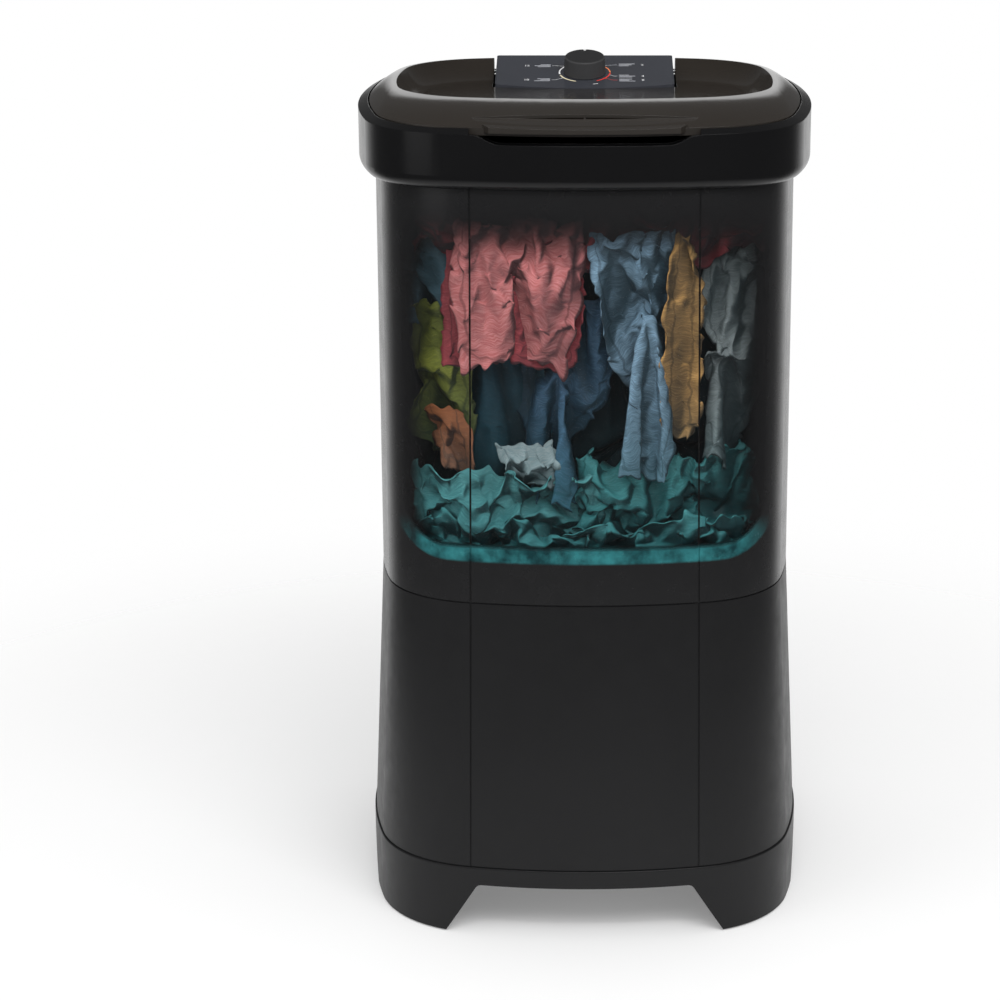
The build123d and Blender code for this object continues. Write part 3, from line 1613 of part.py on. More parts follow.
write(drive_pulley, "drive_pulley")

with BuildPart() as motor_pulley:
    with BuildSketch(Plane.XZ):
        add(pulley_profile(small_pitch_r, motor_shaft_r, motor_x))
    revolve(axis=Axis(origin=(motor_x, 0, 0), direction=(0, 0, 1)))
write(motor_pulley, "motor_pulley")

with BuildPart() as pulley_nut:
    with BuildSketch(Plane.XY.offset(belt_z - pulley_half - nut_h)):
        RegularPolygon(2 * spindle_r, 6)
        Circle(spindle_r, mode=Mode.SUBTRACT)
    extrude(amount=nut_h)
write(pulley_nut, "pulley_nut")


def belt_loop(grow):
    """Round-ended loop about both pulleys at the pitch line, grown outwards."""
    big, small = big_pitch_r + grow, small_pitch_r + grow
    lean = degrees(acos((big - small) / motor_x))
    with BuildSketch() as loop:
        with BuildLine():
            CenterArc((0, 0), big, lean, 360 - 2 * lean)
            CenterArc((motor_x, 0), small, -lean, 2 * lean)
            for side in (1, -1):
                turn = radians(side * lean)
                Line(
                    (big * cos(turn), big * sin(turn)),
                    (motor_x + small * cos(turn), small * sin(turn)),
                )
        make_face()
    return loop.sketch


belt_half_out = belt_width / 2 + belt_depth / 2 * belt_slope
belt_half_in = belt_width / 2 - belt_depth / 2 * belt_slope

with BuildPart() as drive_belt:
    with BuildSketch(Plane.XY.offset(belt_z - belt_half_out)):
        add(belt_loop(belt_depth / 2))
        add(belt_loop(-belt_depth / 2), mode=Mode.SUBTRACT)
    extrude(amount=2 * belt_half_out)
    for side in (-1, 1):
        flank = plan_loft(
            (belt_z + side * belt_half_in, belt_loop(-belt_depth / 2)),
            (belt_z + side * belt_half_out, belt_loop(belt_depth / 2)),
        )
        add(flank, mode=Mode.SUBTRACT)
write(drive_belt, "drive_belt")

# Capacitor held by a clip on the bracket's turned-down edge

with BuildPart() as capacitor:
    with BuildSketch(Plane.XY.offset(capacitor_low)):
        with Locations(capacitor_spot):
            Circle(capacitor_r)
    extrude(amount=capacitor_h)
    fillet(capacitor.edges().filter_by(GeomType.CIRCLE), capacitor_round)
    with BuildSketch(Plane.XY.offset(capacitor_low - capacitor_tab_h)):
        with Locations(capacitor_spot):
            with GridLocations(capacitor_r, 1, 2, 1):
                Rectangle(*capacitor_tab)
    extrude(amount=capacitor_tab_h)
write(capacitor, "capacitor")

clip_y = plate_half_d - bracket_wall
with BuildPart() as capacitor_clip:
    with BuildSketch(Plane.XY.offset(bracket_top - bracket_wall - bracket_flange + clip_margin)):
        with Locations(capacitor_spot):
            Circle(capacitor_r + clip_wall)
        with Locations((capacitor_spot[0], between(capacitor_spot[1], clip_y, 0.5))):
            Rectangle(capacitor_r, clip_y - capacitor_spot[1])
        with Locations(capacitor_spot):
            Circle(capacitor_r, mode=Mode.SUBTRACT)
    extrude(amount=bracket_flange - 3 * clip_margin)
write(capacitor_clip, "capacitor_clip")

# Drain: grate in the floor, elbow below it and out through the rear wall

with BuildPart() as drain_elbow:
    top = (drain_x, drain_y, floor_top)
    with BuildLine() as drain_route:
        corner = (drain_x, drain_y, spigot_z)
        FilletPolyline(top, corner, (drain_x, spigot_end_y, spigot_z), radius=spigot_bend)
    with BuildSketch(Plane(origin=top, z_dir=(0, 0, -1))):
        Circle(drain_r)
        Circle(drain_r - pipe_wall, mode=Mode.SUBTRACT)
    sweep(path=drain_route.line)
    with BuildSketch(Plane(origin=(drain_x, spigot_end_y, spigot_z), z_dir=(0, -1, 0))):
        Circle(drain_r)
        Circle(spigot_tail_r, mode=Mode.SUBTRACT)
    extrude(amount=spigot_tail, mode=Mode.SUBTRACT)
write(drain_elbow, "drain_elbow")

with BuildPart() as drain_grate:
    with BuildSketch(Plane.XY.offset(floor_top)):
        with Locations((drain_x, drain_y)):
            Circle(drain_r + grate_lap)
            with PolarLocations(grate_ring_r, grate_holes):
                Circle(grate_hole_r, mode=Mode.SUBTRACT)
            Circle(grate_hole_r, mode=Mode.SUBTRACT)
    extrude(amount=grate_h)
write(drain_grate, "drain_grate")

with BuildPart() as inlet_spigot:
    inlet_plane = Plane(origin=(inlet_x, 0, inlet_z), x_dir=(-1, 0, 0), z_dir=(0, 1, 0))
    wall_y = tub_inner_y(inlet_x, inlet_z)
    with BuildSketch(inlet_plane.offset(wall_y - inlet_nozzle)):
        Circle(inlet_r)
    extrude(amount=spigot_end_y - wall_y + inlet_nozzle)
    with BuildSketch(inlet_plane.offset(wall_y + tub_wall + inlet_seat)):
        RegularPolygon(inlet_r + inlet_seat, 6)
    extrude(amount=inlet_seat)
    with BuildSketch(inlet_plane.offset(wall_y - inlet_nozzle)):
        Circle(inlet_r - pipe_wall)
    extrude(amount=spigot_end_y, mode=Mode.SUBTRACT)
    with BuildSketch(inlet_plane.offset(wall_y - inlet_nozzle)):
        Rectangle(2 * inlet_r - pipe_wall, inlet_bar)
        Rectangle(inlet_bar, 2 * inlet_r - pipe_wall)
    extrude(amount=inlet_bar)
write(inlet_spigot, "inlet_spigot")
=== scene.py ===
import json
import math

import bmesh
import bpy
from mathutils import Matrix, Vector, noise
from mathutils.bvhtree import BVHTree


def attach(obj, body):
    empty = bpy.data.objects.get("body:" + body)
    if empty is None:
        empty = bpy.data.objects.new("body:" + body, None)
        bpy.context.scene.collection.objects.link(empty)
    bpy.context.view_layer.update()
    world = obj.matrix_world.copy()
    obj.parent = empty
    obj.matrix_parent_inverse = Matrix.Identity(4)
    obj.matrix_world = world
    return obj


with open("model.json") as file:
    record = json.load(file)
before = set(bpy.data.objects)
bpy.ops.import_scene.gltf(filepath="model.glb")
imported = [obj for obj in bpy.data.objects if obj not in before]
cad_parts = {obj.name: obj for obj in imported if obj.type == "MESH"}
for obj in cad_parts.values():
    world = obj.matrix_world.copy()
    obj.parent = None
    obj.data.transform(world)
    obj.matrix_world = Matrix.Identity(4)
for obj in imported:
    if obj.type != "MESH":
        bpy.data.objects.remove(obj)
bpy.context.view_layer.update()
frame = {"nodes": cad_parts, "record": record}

nodes = frame["nodes"]

# Sizes are in metres, in the frame of the part, whose front faces -Y. Noise scales are per metre.

# Camera, as fitted to the photograph
camera_at = Vector((0.0, -3.160, 1.412))
camera_down = math.radians(16.2)
camera_lens = 91.0
camera_sensor = 36.0
camera_shift = -0.0847

# Plastic and metal: marks of moulding, wear and grain
flow_scale = 7.0
flow_depth = 0.12
wear_scale = 38.0
wear_depth = 0.12
grain_scale = 1400.0
blot_scale = 60.0
brush_scale = 600.0
brush_length = 30.0
brush_height = 0.00003
speck_scale = 900.0
bevel_samples = 4

# Lid: polish above, dull below, rounded edges, and a dish that leans towards the console
lid_polish = 0.12
lid_dull = 0.62
lid_turn = (-0.1, 0.1)
lid_flat = (0.985, 0.995)
lid_edge = 0.0007
dish_brim = 1.022
dish_wall = 0.006
dish_lean = 0.055

# Window: the clear part of the tub's front, with soft sides and top and a crisp lower edge
window_half_w = 0.236
window_fade_x = 0.050
window_inset = 0.012
window_low = 0.5005
window_high = 0.935
window_fade_top = 0.085
window_corner = 0.055
window_crisp = 0.006
window_open = 0.90
window_front = (-0.09, -0.12)
window_facing = (0.35, 0.6)

# Grooves beside the window, each as reach and height at its lower and upper end
groove_low = (0.142, 0.091)
groove_high = (0.1345, 0.938)
groove_edge = (0.0006, 0.0014)
groove_open = 0.15

# Strip under the window that takes the colour of the load
glow_low = 0.4835
glow_crisp = 0.003
glow_brim = (0.006, 0.03)

# Console face and dial
knob_at = (0.0, 0.181)
face_top_y = 0.235
face_top_z = 1.0396
face_rise = 0.262
print_lift = 0.00006
pointer_low = 0.0205
pointer_middle = 0.0225
pointer_high = 0.0245
pointer_width = 0.0026
mark_width = 0.0012
arc_inner = 0.0322
arc_outer = 0.0342
arc_steps = 24
line_width = 0.0006
knee_at = 0.038
leader_end = 0.043
rows_at = 0.045
row_pitch = 0.0034
row_height = 0.0011
row_shortest = 0.013
row_step = 0.004
minutes_at = 0.076
digit_height = 0.0052
capital_height = 0.7
ray_start = 0.2

# Load of clothes
cell = 0.0045
fewest_cells = 6
edge_wave_x = 0.008
edge_wave_z = 0.012
face_wave = 0.012
wave_scale = 16.0
small_wave = 2.3
seed_step = 7.3
sheet_thick = 0.0012
seam_in = 0.009
load_floor = 0.492
soft_stop = 0.012
layer_play = 0.032
layer_room = 0.095
wall_gap = 0.002
wall_reach = 0.236
wall_low = 0.50
wall_high = 0.92
wall_unseen = -0.2
water_line = (0.50, 0.72)
# Direction of a painted light: cloth faces turned from it get painted shade in their colour
painted_light_from = Vector((-0.35, -0.45, 0.82))
fall_frames = 34

# Floor and white surroundings
floor_radius = 6.0
floor_fade = (0.55, 1.7)
floor_lift = 0.2
room_light = 0.76
room_gloss = 0.105

# Zones behind the part that reflections see bright, each by the direction's share along an axis
zone_behind = (0.35, 0.75)
floor_zone_x = (0.45, 0.95)
floor_zone_z = (-0.10, 0.0)
wall_zone_x = (0.10, 0.20)
wall_zone_z = (0.26, 0.34)


def linear(red, green, blue):
    """Colour of 0 to 255 as shown on a screen, as the linear colour that a shader takes."""
    def one(value):
        value /= 255.0
        return value / 12.92 if value <= 0.04045 else ((value + 0.055) / 1.055) ** 2.4
    return (one(red), one(green), one(blue), 1.0)


def shade(colour, amount):
    """The same colour, lighter or darker."""
    return tuple(min(1.0, part * amount) for part in colour[:3]) + (1.0,)


def placed(name, data):
    """A new object with this data, in the scene."""
    piece = bpy.data.objects.new(name, data)
    bpy.context.scene.collection.objects.link(piece)
    return piece


class Tree:
    """A tree of shader nodes, with short ways to add nodes and link them."""

    def __init__(self, tree):
        self.tree = tree

    def add(self, kind, settings=(), **inputs):
        node = self.tree.nodes.new("ShaderNode" + kind)
        for key, value in dict(settings).items():
            setattr(node, key, value)
        for key, value in inputs.items():
            self.feed(node.inputs[key.replace("_", " ")], value)
        return node

    def feed(self, socket, value):
        """Gives a socket its value, or links it to the output that the value comes from."""
        if isinstance(value, bpy.types.NodeSocket):
            self.tree.links.new(value, socket)
        else:
            socket.default_value = value

    def feed_all(self, node, *values):
        for socket, value in zip(node.inputs, values):
            self.feed(socket, value)
        return node

    def math(self, operation, first, second=0.0):
        return self.feed_all(self.add("Math", {"operation": operation}), first, second).outputs[0]

    def product(self, *factors):
        result = factors[0]
        for factor in factors[1:]:
            result = self.math("MULTIPLY", result, factor)
        return result

    def vector(self, operation, *vectors):
        node = self.feed_all(self.add("VectorMath", {"operation": operation}), *vectors)
        return node.outputs["Value" if operation in ("LENGTH", "DOT_PRODUCT") else "Vector"]

    def split(self, vector):
        return self.add("SeparateXYZ", Vector=vector).outputs

    def spread(self, value, low, high, to_low=0.0, to_high=1.0, kind="LINEAR"):
        node = self.add("MapRange", {"interpolation_type": kind})
        return self.feed_all(node, value, low, high, to_low, to_high).outputs["Result"]

    def ease(self, value, low, high, to_low=0.0, to_high=1.0):
        return self.spread(value, low, high, to_low, to_high, "SMOOTHSTEP")


class Material(Tree):
    """A material's nodes round its main shader."""

    def __init__(self, name):
        self.material = bpy.data.materials.new(name)
        self.material.use_nodes = True
        super().__init__(self.material.node_tree)
        self.shader = self.tree.nodes["Principled BSDF"]
        self.place = self.add("TexCoord").outputs["Object"]

    def set(self, **inputs):
        for key, value in inputs.items():
            self.feed(self.shader.inputs[key.replace("_", " ")], value)

    def noise(self, scale, detail=2.0, roughness=0.5, distortion=0.0, vector=None):
        return self.add("TexNoise", Scale=scale, Detail=detail, Roughness=roughness, Distortion=distortion,
                        Vector=vector or self.place).outputs["Fac"]

    def stretched(self, vector, scale):
        return self.add("Mapping", Vector=vector, Scale=scale).outputs[0]

    def mix(self, share, first, second):
        node = self.add("Mix", {"data_type": "RGBA"}, Factor=share)
        self.feed(node.inputs[6], first)
        self.feed(node.inputs[7], second)
        return node.outputs[2]

    def bump(self, height, distance, strength=1.0, normal=None):
        node = self.add("Bump", Height=height, Distance=distance, Strength=strength)
        if normal is not None:
            self.feed(node.inputs["Normal"], normal)
        return node.outputs["Normal"]

    def rounded(self, radius):
        """The surface's normal, with its edges shown as if they were rounded."""
        return self.add("Bevel", {"samples": bevel_samples}, Radius=radius).outputs[0]

    def facing(self):
        """The direction that the surface faces, split into its three shares."""
        return self.split(self.add("NewGeometry").outputs["Normal"])


def moulded(name, colour, roughness, shine=0.5, grain=0.00002, edge=0.0):
    """Moulded plastic: faint flow marks in colour and gloss, a fine grain, and rounded edges."""
    m = Material(name)
    flow = m.noise(flow_scale, 3.0, 0.55, 0.6)
    wear = m.noise(wear_scale, 4.0, 0.6)
    m.set(Base_Color=m.mix(flow, shade(colour, 1 - flow_depth), shade(colour, 1 + flow_depth)),
          Roughness=m.spread(wear, 0.3, 0.7, roughness * (1 - wear_depth), roughness * (1 + wear_depth)),
          Specular_IOR_Level=shine,
          Normal=m.bump(m.noise(grain_scale, 2.0, 0.6), grain, normal=m.rounded(edge) if edge else None))
    return m


def metal(name, colour, roughness, brushed=False):
    """Bare metal: faint blots in colour and gloss, and the fine lines of brushing along it."""
    m = Material(name)
    blot = m.noise(blot_scale, 3.0, 0.6)
    along = m.stretched(m.place, (1.0, 1.0, brush_length if brushed else 1.0))
    m.set(Base_Color=m.mix(blot, shade(colour, 0.85), shade(colour, 1.1)),
          Metallic=1.0,
          Roughness=m.spread(blot, 0.3, 0.7, roughness * 0.8, roughness * 1.25),
          Normal=m.bump(m.noise(brush_scale, 3.0, 0.6, vector=along), brush_height))
    return m


def lid_plastic():
    """Smoked plastic, polished above and dull below; the dish leans to mirror the console."""
    m = moulded("lid_plastic", linear(40, 36, 32), lid_polish)
    up = m.split(m.add("TexCoord").outputs["Normal"])[2]
    flat = m.spread(up, *lid_flat)
    dish = m.product(flat, m.spread(m.split(m.place)[2], dish_brim - dish_wall, dish_brim, 1.0, 0.0))
    lean = m.add("CombineXYZ", X=0.0, Y=m.product(dish, dish_lean), Z=0.0).outputs[0]
    m.set(Roughness=m.spread(up, *lid_turn, lid_dull, lid_polish),
          Normal=m.vector("NORMALIZE", m.vector("ADD", m.rounded(lid_edge), lean)))
    return m


def knob_plastic():
    """Satin plastic, with painted shade on the flat top and painted light round the side."""
    m = moulded("knob_plastic", linear(58, 58, 59), 0.5, 0.2, 0.00004)
    # Painted shade and light: the top's colour is darker and the side's lighter, for how the lamps fall on
    # them
    top = m.spread(m.facing()[2], 0.75, 0.9)
    m.set(Base_Color=m.mix(top, linear(62, 62, 63), linear(43, 43, 44)))
    return m


def tub_plastic(colour):
    """The body's plastic, smoked and clear in a soft-edged window at the front."""
    m = moulded("tub_plastic", colour, 0.26, 0.35)
    x, y, z = m.split(m.place)
    across = m.math("ABSOLUTE", x)
    side = m.ease(across, window_half_w - window_fade_x, window_half_w, 1.0, 0.0)
    top = m.ease(z, window_high - window_fade_top, window_high, 1.0, 0.0)

    # How far a place lies out of the window's lower corners, and so how far below its lower edge
    over = m.math("MAXIMUM", m.math("SUBTRACT", across, window_half_w - window_inset - window_corner))
    under = m.math("MAXIMUM", m.math("SUBTRACT", window_low + window_corner, z))
    reach = m.math("SQRT", m.math("ADD", m.product(over, over), m.product(under, under)))
    low = m.ease(reach, window_corner - window_crisp, window_corner, 1.0, 0.0)

    # Only the front wall is clear, and its grooves stay dark
    facing = m.math("ABSOLUTE", m.facing()[1])
    front = m.product(m.spread(y, *window_front), m.spread(facing, *window_facing))
    groove_at = m.spread(z, groove_low[1], groove_high[1], groove_low[0], groove_high[0])
    groove = m.math("ABSOLUTE", m.math("SUBTRACT", across, groove_at))
    clear = m.product(side, top, low, front, m.spread(groove, *groove_edge, groove_open, 1.0))

    # The strip under the window, in a cloudy colour of the load
    glow_end = window_corner + window_low - glow_low
    brim = m.product(m.spread(reach, window_corner - window_crisp, window_corner),
                     m.spread(z, window_low + glow_brim[0], window_low + glow_brim[1], 1.0, 0.0))
    glow = m.product(m.spread(reach, glow_end - glow_crisp, glow_end, 1.0, 0.0), brim, side, front)
    cloudy = m.mix(m.spread(m.noise(30.0, 4.0, 0.6), 0.35, 0.65), linear(8, 48, 52), linear(44, 118, 122))
    m.set(Alpha=m.math("SUBTRACT", 1.0, m.product(clear, window_open)),
          Base_Color=m.mix(glow, colour, cloudy))
    return m


black = linear(26, 26, 27)
materials = {
    "body_black": moulded("skirt_plastic", black, 0.38, 0.2, 0.00003),
    "rim_black": moulded("rim_plastic", linear(15, 15, 16), 0.22, 0.25, 0.00001, 0.0009),
    "lid_smoke": lid_plastic(),
    "console_grey": moulded("console_plastic", linear(56, 58, 64), 0.2, 0.4, 0.000006),
    "knob_black": knob_plastic(),
    "inner_grey": moulded("inner_plastic", linear(158, 160, 163), 0.45),
    "pulsator_teal": moulded("pulsator_plastic", linear(132, 168, 172), 0.3),
    "rubber_black": moulded("rubber", linear(38, 38, 38), 0.75, 0.3, 0.00008),
    "steel": metal("zinc_steel", linear(176, 176, 178), 0.32, True),
    "cast_alloy": metal("cast_alloy", linear(168, 169, 171), 0.5),
    "bronze": metal("bronze", linear(168, 130, 82), 0.45),
    "motor_paint": moulded("motor_paint", linear(52, 55, 58), 0.4, 0.5, 0.00004),
    "tub_smoke": tub_plastic(black),
}

slot_of = {part["node"]: part["material_slot"] for part in frame["record"]["subparts"]}
for name, piece in nodes.items():
    piece.data.materials.clear()
    piece.data.materials.append(materials[slot_of[name]].material)


# Print on the console face: arcs about the knob, plain numbers and their leader lines

face_tilt = math.atan(face_rise)
face_middle = Vector((knob_at[0], knob_at[1], face_top_z - face_rise * (face_top_y - knob_at[1])))
face_up = Vector((0.0, math.cos(face_tilt), math.sin(face_tilt)))
face_out = Vector((0.0, -math.sin(face_tilt), math.cos(face_tilt)))


def knob_height():
    """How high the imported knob's top stands over the console face where the pointer lies."""
    knob = BVHTree.FromObject(nodes["timer_knob"], bpy.context.evaluated_depsgraph_get())
    top = knob.ray_cast(face_middle + face_up * pointer_middle + face_out * ray_start, -face_out)[0]
    return (top - face_middle).dot(face_out)


def ink(name, *rgb):
    colour = linear(*rgb)
    m = Material(name)
    speck = m.noise(speck_scale)
    m.set(Base_Color=m.mix(speck, colour, shade(colour, 1.6)), Roughness=0.35, Specular_IOR_Level=0.4)
    return m.material


inks = {
    "white": ink("ink_white", 214, 214, 216),
    "grey": ink("ink_grey", 190, 192, 198),
    "cream": ink("ink_cream", 226, 204, 172),
    "orange": ink("ink_orange", 226, 120, 74),
    "red": ink("ink_red", 206, 52, 44),
}


def on_face(across, up, height=0.0):
    """The place this far across and up from the knob, just over the console face."""
    return face_middle + Vector((across, 0.0, 0.0)) + face_up * up + face_out * (height + print_lift)


def inked(name, mesh, colour, body="cabinet", slot="console_grey"):
    """Makes a mesh a printed piece that moves with a body."""
    mesh.materials.clear()
    mesh.materials.append(inks[colour])
    piece = placed(name, mesh)
    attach(piece, body)


def printed(name, outlines, colour, height=0.0, **where):
    """Prints flat shapes, each given by its corners across and up from the knob."""
    mesh = bpy.data.meshes.new(name)
    form = bmesh.new()
    for outline in outlines:
        face = form.faces.new([form.verts.new(on_face(*corner, height)) for corner in outline])
        face.normal_update()
        if face.normal.dot(face_out) < 0:
            face.normal_flip()
    form.to_mesh(mesh)
    form.free()
    inked(name, mesh, colour, **where)


def digits(name, number, x, y):
    """Prints a plain number whose middle lies at a place on the console face."""
    curve = bpy.data.curves.new(name + "_curve", "FONT")
    curve.body = str(number)
    curve.size = digit_height / capital_height
    curve.align_x = "CENTER"
    curve.align_y = "CENTER"
    scratch = placed(name + "_curve", curve)
    mesh = bpy.data.meshes.new_from_object(scratch.evaluated_get(bpy.context.evaluated_depsgraph_get()))
    bpy.data.objects.remove(scratch)
    for corner in mesh.vertices:
        corner.co = on_face(x + corner.co.x, y + corner.co.y)
    inked(name, mesh, "white")


def arc(start, end):
    """Quads of a ring between two angles in degrees, counted from the right, upwards."""
    quads = []
    for step in range(arc_steps):
        a, b = (math.radians(start + (end - start) * (step + k) / arc_steps) for k in (0, 1))
        ring = ((arc_inner, a), (arc_outer, a), (arc_outer, b), (arc_inner, b))
        quads.append([(r * math.cos(t), r * math.sin(t)) for r, t in ring])
    return quads


def bar(x, y, length):
    """A level bar that starts at x."""
    low, high = y - row_height / 2, y + row_height / 2
    return [(x, low), (x + length, low), (x + length, high), (x, high)]


def slant(start, end, width=line_width):
    """A line from one place to another."""
    across = Vector((end[0] - start[0], end[1] - start[1]))
    side = Vector((-across.y, across.x)).normalized() * width / 2
    corners = ((start, -1), (end, -1), (end, 1), (start, 1))
    return [(p[0] + s * side.x, p[1] + s * side.y) for p, s in corners]


printed("arc_cream", arc(196, 250), "cream")
printed("arc_white", arc(140, 190), "white")
printed("arc_orange", arc(0, 48), "orange")
printed("arc_red", arc(-62, -4), "red")

# Each group of print: its place, its side, its height, its leader's ink, its minutes, and its leader's start
legend = [
    ("upper_left", -1, 0.024, "white", 15, (-0.026, 0.022)),
    ("lower_left", -1, -0.026, "white", 10, (-0.028, -0.019)),
    ("upper_right", 1, 0.027, "grey", 2, (0.024, 0.024)),
    ("middle_right", 1, -0.013, "white", 4, (0.032, -0.008)),
    ("lower_right", 1, -0.027, "red", 8, (0.026, -0.021)),
]
for number, (place, side, height, colour, minutes, start) in enumerate(legend):
    knee = (side * knee_at, height)
    leader = [slant(start, knee), slant(knee, (side * leader_end, height))]
    printed("leader_" + place, leader, colour)
    digits("minutes_" + place, minutes, side * minutes_at, height)
    rows = []
    for row in range(3):
        length = row_shortest + row_step * ((number + row * 2) % 3)
        inner = side * rows_at
        rows.append(bar(min(inner, inner + side * length), height + row_pitch * (1 - row), length))
    printed("rows_" + place, rows, "grey")
printed("mark_start", [slant((0.011, -0.041), (0.017, -0.039), mark_width)], "white")
pointer = slant((0.0, pointer_low), (0.0, pointer_high), pointer_width)
printed("knob_pointer", [pointer], "white", knob_height(), body="timer", slot="knob_black")


# Load of clothes behind the window, which is no part of the machine

def soft_limit(value):
    """The value, bent so that it nears zero but never crosses it."""
    return value if value > soft_stop else soft_stop * math.exp((value - soft_stop) / soft_stop)


def rough(x, z, seed):
    """Waves of two sizes; each seed has its own."""
    place = Vector((x * wave_scale, z * wave_scale, seed * seed_step))
    return noise.noise(place) + 0.5 * noise.noise(place * small_wave)


class Wall:
    """Where the tub's inner front wall stands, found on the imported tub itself."""

    def __init__(self, tub):
        self.tree = BVHTree.FromObject(tub, bpy.context.evaluated_depsgraph_get())

    def __call__(self, x, z):
        x = max(-wall_reach, min(wall_reach, x))
        z = max(wall_low, min(wall_high, z))
        hit = self.tree.ray_cast(Vector((x, 0.0, z)), Vector((0.0, -1.0, 0.0)))[0]
        return hit.y if hit else wall_unseen


def woven(name, colour, streak):
    """Woven cloth: streaky yarn along the sheet, a seam near each edge, and painted shade in deep folds and
    on faces turned from the light.
    """
    m = Material(name)
    flat = m.add("Attribute", {"attribute_name": "flat"}).outputs["Vector"]
    rim = m.add("Attribute", {"attribute_name": "rim"}).outputs["Fac"]
    hollow = m.add("Attribute", {"attribute_name": "hollow"}).outputs["Fac"]
    # Painted shade colour, for deep folds and for faces turned from the light
    painted_shade_colour = linear(6, 28, 34)
    water_colour = linear(16, 98, 104)

    yarn = m.noise(1.0, 4.0, 0.65, vector=m.stretched(flat, (90.0, 900.0, 1.0)))
    tone = m.mix(m.noise(14.0, 4.0, 0.6), shade(colour, 0.5), colour)
    tone = m.mix(m.spread(yarn, 0.42, 0.68, 0.0, streak), tone, shade(colour, 1.9))
    seam = m.math("ABSOLUTE", m.math("SUBTRACT", rim, seam_in))
    tone = m.mix(m.spread(seam, 0.0006, 0.0016, 0.6, 0.0), tone, shade(colour, 0.3))

    # Low places take the water's colour; painted shade darkens the deep ones and those turned from the light
    tone = m.mix(m.ease(m.split(m.place)[2], *water_line, 0.72, 0.0), tone, water_colour)
    # Painted shade: faces turned from the painted light go darker
    lit = m.vector("DOT_PRODUCT", m.add("NewGeometry").outputs["Normal"], painted_light_from)
    painted_shade_turned = m.ease(lit, 0.05, 0.85, 0.88, 0.0)
    # Painted shade: the deeper a corner lies behind the wall, the darker
    deep = m.spread(hollow, 0.10, 0.62, 0.0, 0.94)
    m.set(Base_Color=m.mix(m.math("MAXIMUM", painted_shade_turned, deep), tone, painted_shade_colour),
          Roughness=0.6, Specular_IOR_Level=0.25, Normal=m.bump(yarn, 0.0006, 0.7))
    return m.material


class Sheet:
    """Flat sheet that is to be crumpled.

    box is where it hangs: left, right, low and high. depth is how far it lies behind the wall.
    pins are the places where it is held, each as its share across, its share down and its radius.
    A shrink below 0 lets the sheet grow. lean moves its lower end sideways, and streak is how far
    its yarn shows.
    """

    def __init__(self, name, box, depth, rgb, pins, shrink, lean=0.0, streak=0.4):
        self.left, self.right, self.low, self.high = box
        self.depth = depth
        self.shrink = shrink
        self.lean = lean
        colour = linear(*rgb)
        mesh = self.flat_mesh(name, len(name) + colour[0] * 10)
        mesh.materials.append(woven("cloth_" + name, colour, streak))
        self.piece = placed(name, mesh)
        self.hold(pins)

    def at(self, across, down):
        """The place at these shares across and down the flat sheet."""
        return (self.left + (self.right - self.left) * across + self.lean * down,
                self.high - (self.high - self.low) * down)

    def flat_mesh(self, name, seed):
        """A grid with wavy edges; each corner keeps its place on the sheet and its way to the edge."""
        width, height = self.right - self.left, self.high - self.low
        columns = max(fewest_cells, round(width / cell))
        rows = max(fewest_cells, round(height / cell))
        form = bmesh.new()
        flat, rim, grid = [], [], []
        for row in range(rows + 1):
            line = []
            for column in range(columns + 1):
                u, v = column / columns, row / rows
                x, z = self.at(u, v)
                x += edge_wave_x * rough(u, v * 3, seed)
                z += edge_wave_z * rough(u * 2, v, seed + 3)
                line.append(form.verts.new((x, self.depth + face_wave * rough(x, z, seed), z)))
                flat.append((u * width, v * height, 0.0))
                rim.append(min(min(u, 1 - u) * width, (1 - v) * height))
            grid.append(line)
        for row in range(rows):
            for column in range(columns):
                form.faces.new([grid[row + a][column + b] for a, b in ((0, 0), (1, 0), (1, 1), (0, 1))])
        mesh = bpy.data.meshes.new(name)
        form.to_mesh(mesh)
        form.free()
        corners = [share for corner in flat for share in corner]
        mesh.attributes.new("flat", "FLOAT_VECTOR", "POINT").data.foreach_set("vector", corners)
        mesh.attributes.new("rim", "FLOAT", "POINT").data.foreach_set("value", rim)
        return mesh

    def hold(self, pins):
        held = self.piece.vertex_groups.new(name="held")
        for across, down, radius in pins:
            x, z = self.at(across, down)
            near = [c.index for c in self.piece.data.vertices if math.hypot(c.co.x - x, c.co.z - z) < radius]
            held.add(near, 1.0, "REPLACE")

    def hang(self):
        cloth = self.piece.modifiers.new("fall", "CLOTH")
        use = cloth.settings
        use.vertex_group_mass = "held"
        use.quality = 6
        use.mass = 0.3
        use.tension_stiffness = use.compression_stiffness = 12
        use.shear_stiffness = 4
        use.bending_stiffness = 0.25
        use.air_damping = 2.5
        use.shrink_min = self.shrink
        cloth.collision_settings.use_collision = False
        cloth.point_cache.frame_end = fall_frames

    def settle(self, mesh, wall):
        """Lays the crumpled sheet behind the curved wall, and notes how deep each corner lies."""
        self.piece.modifiers.clear()
        self.piece.data = mesh
        hollow = []
        for corner in mesh.vertices:
            x, y, z = corner.co
            deep = soft_limit(self.depth + layer_play * math.tanh((y - self.depth) / layer_play))
            z = load_floor + soft_limit(z - load_floor)
            corner.co = (x, wall(x, z) + wall_gap + deep, z)
            hollow.append(deep / layer_room)
        # How deep each corner lies, which the cloth's painted shade reads
        mesh.attributes.new("hollow", "FLOAT", "POINT").data.foreach_set("value", hollow)
        mesh.shade_smooth()
        smooth = self.piece.modifiers.new("smooth", "SUBSURF")
        smooth.levels = smooth.render_levels = 1
        self.piece.modifiers.new("thick", "SOLIDIFY").thickness = sheet_thick


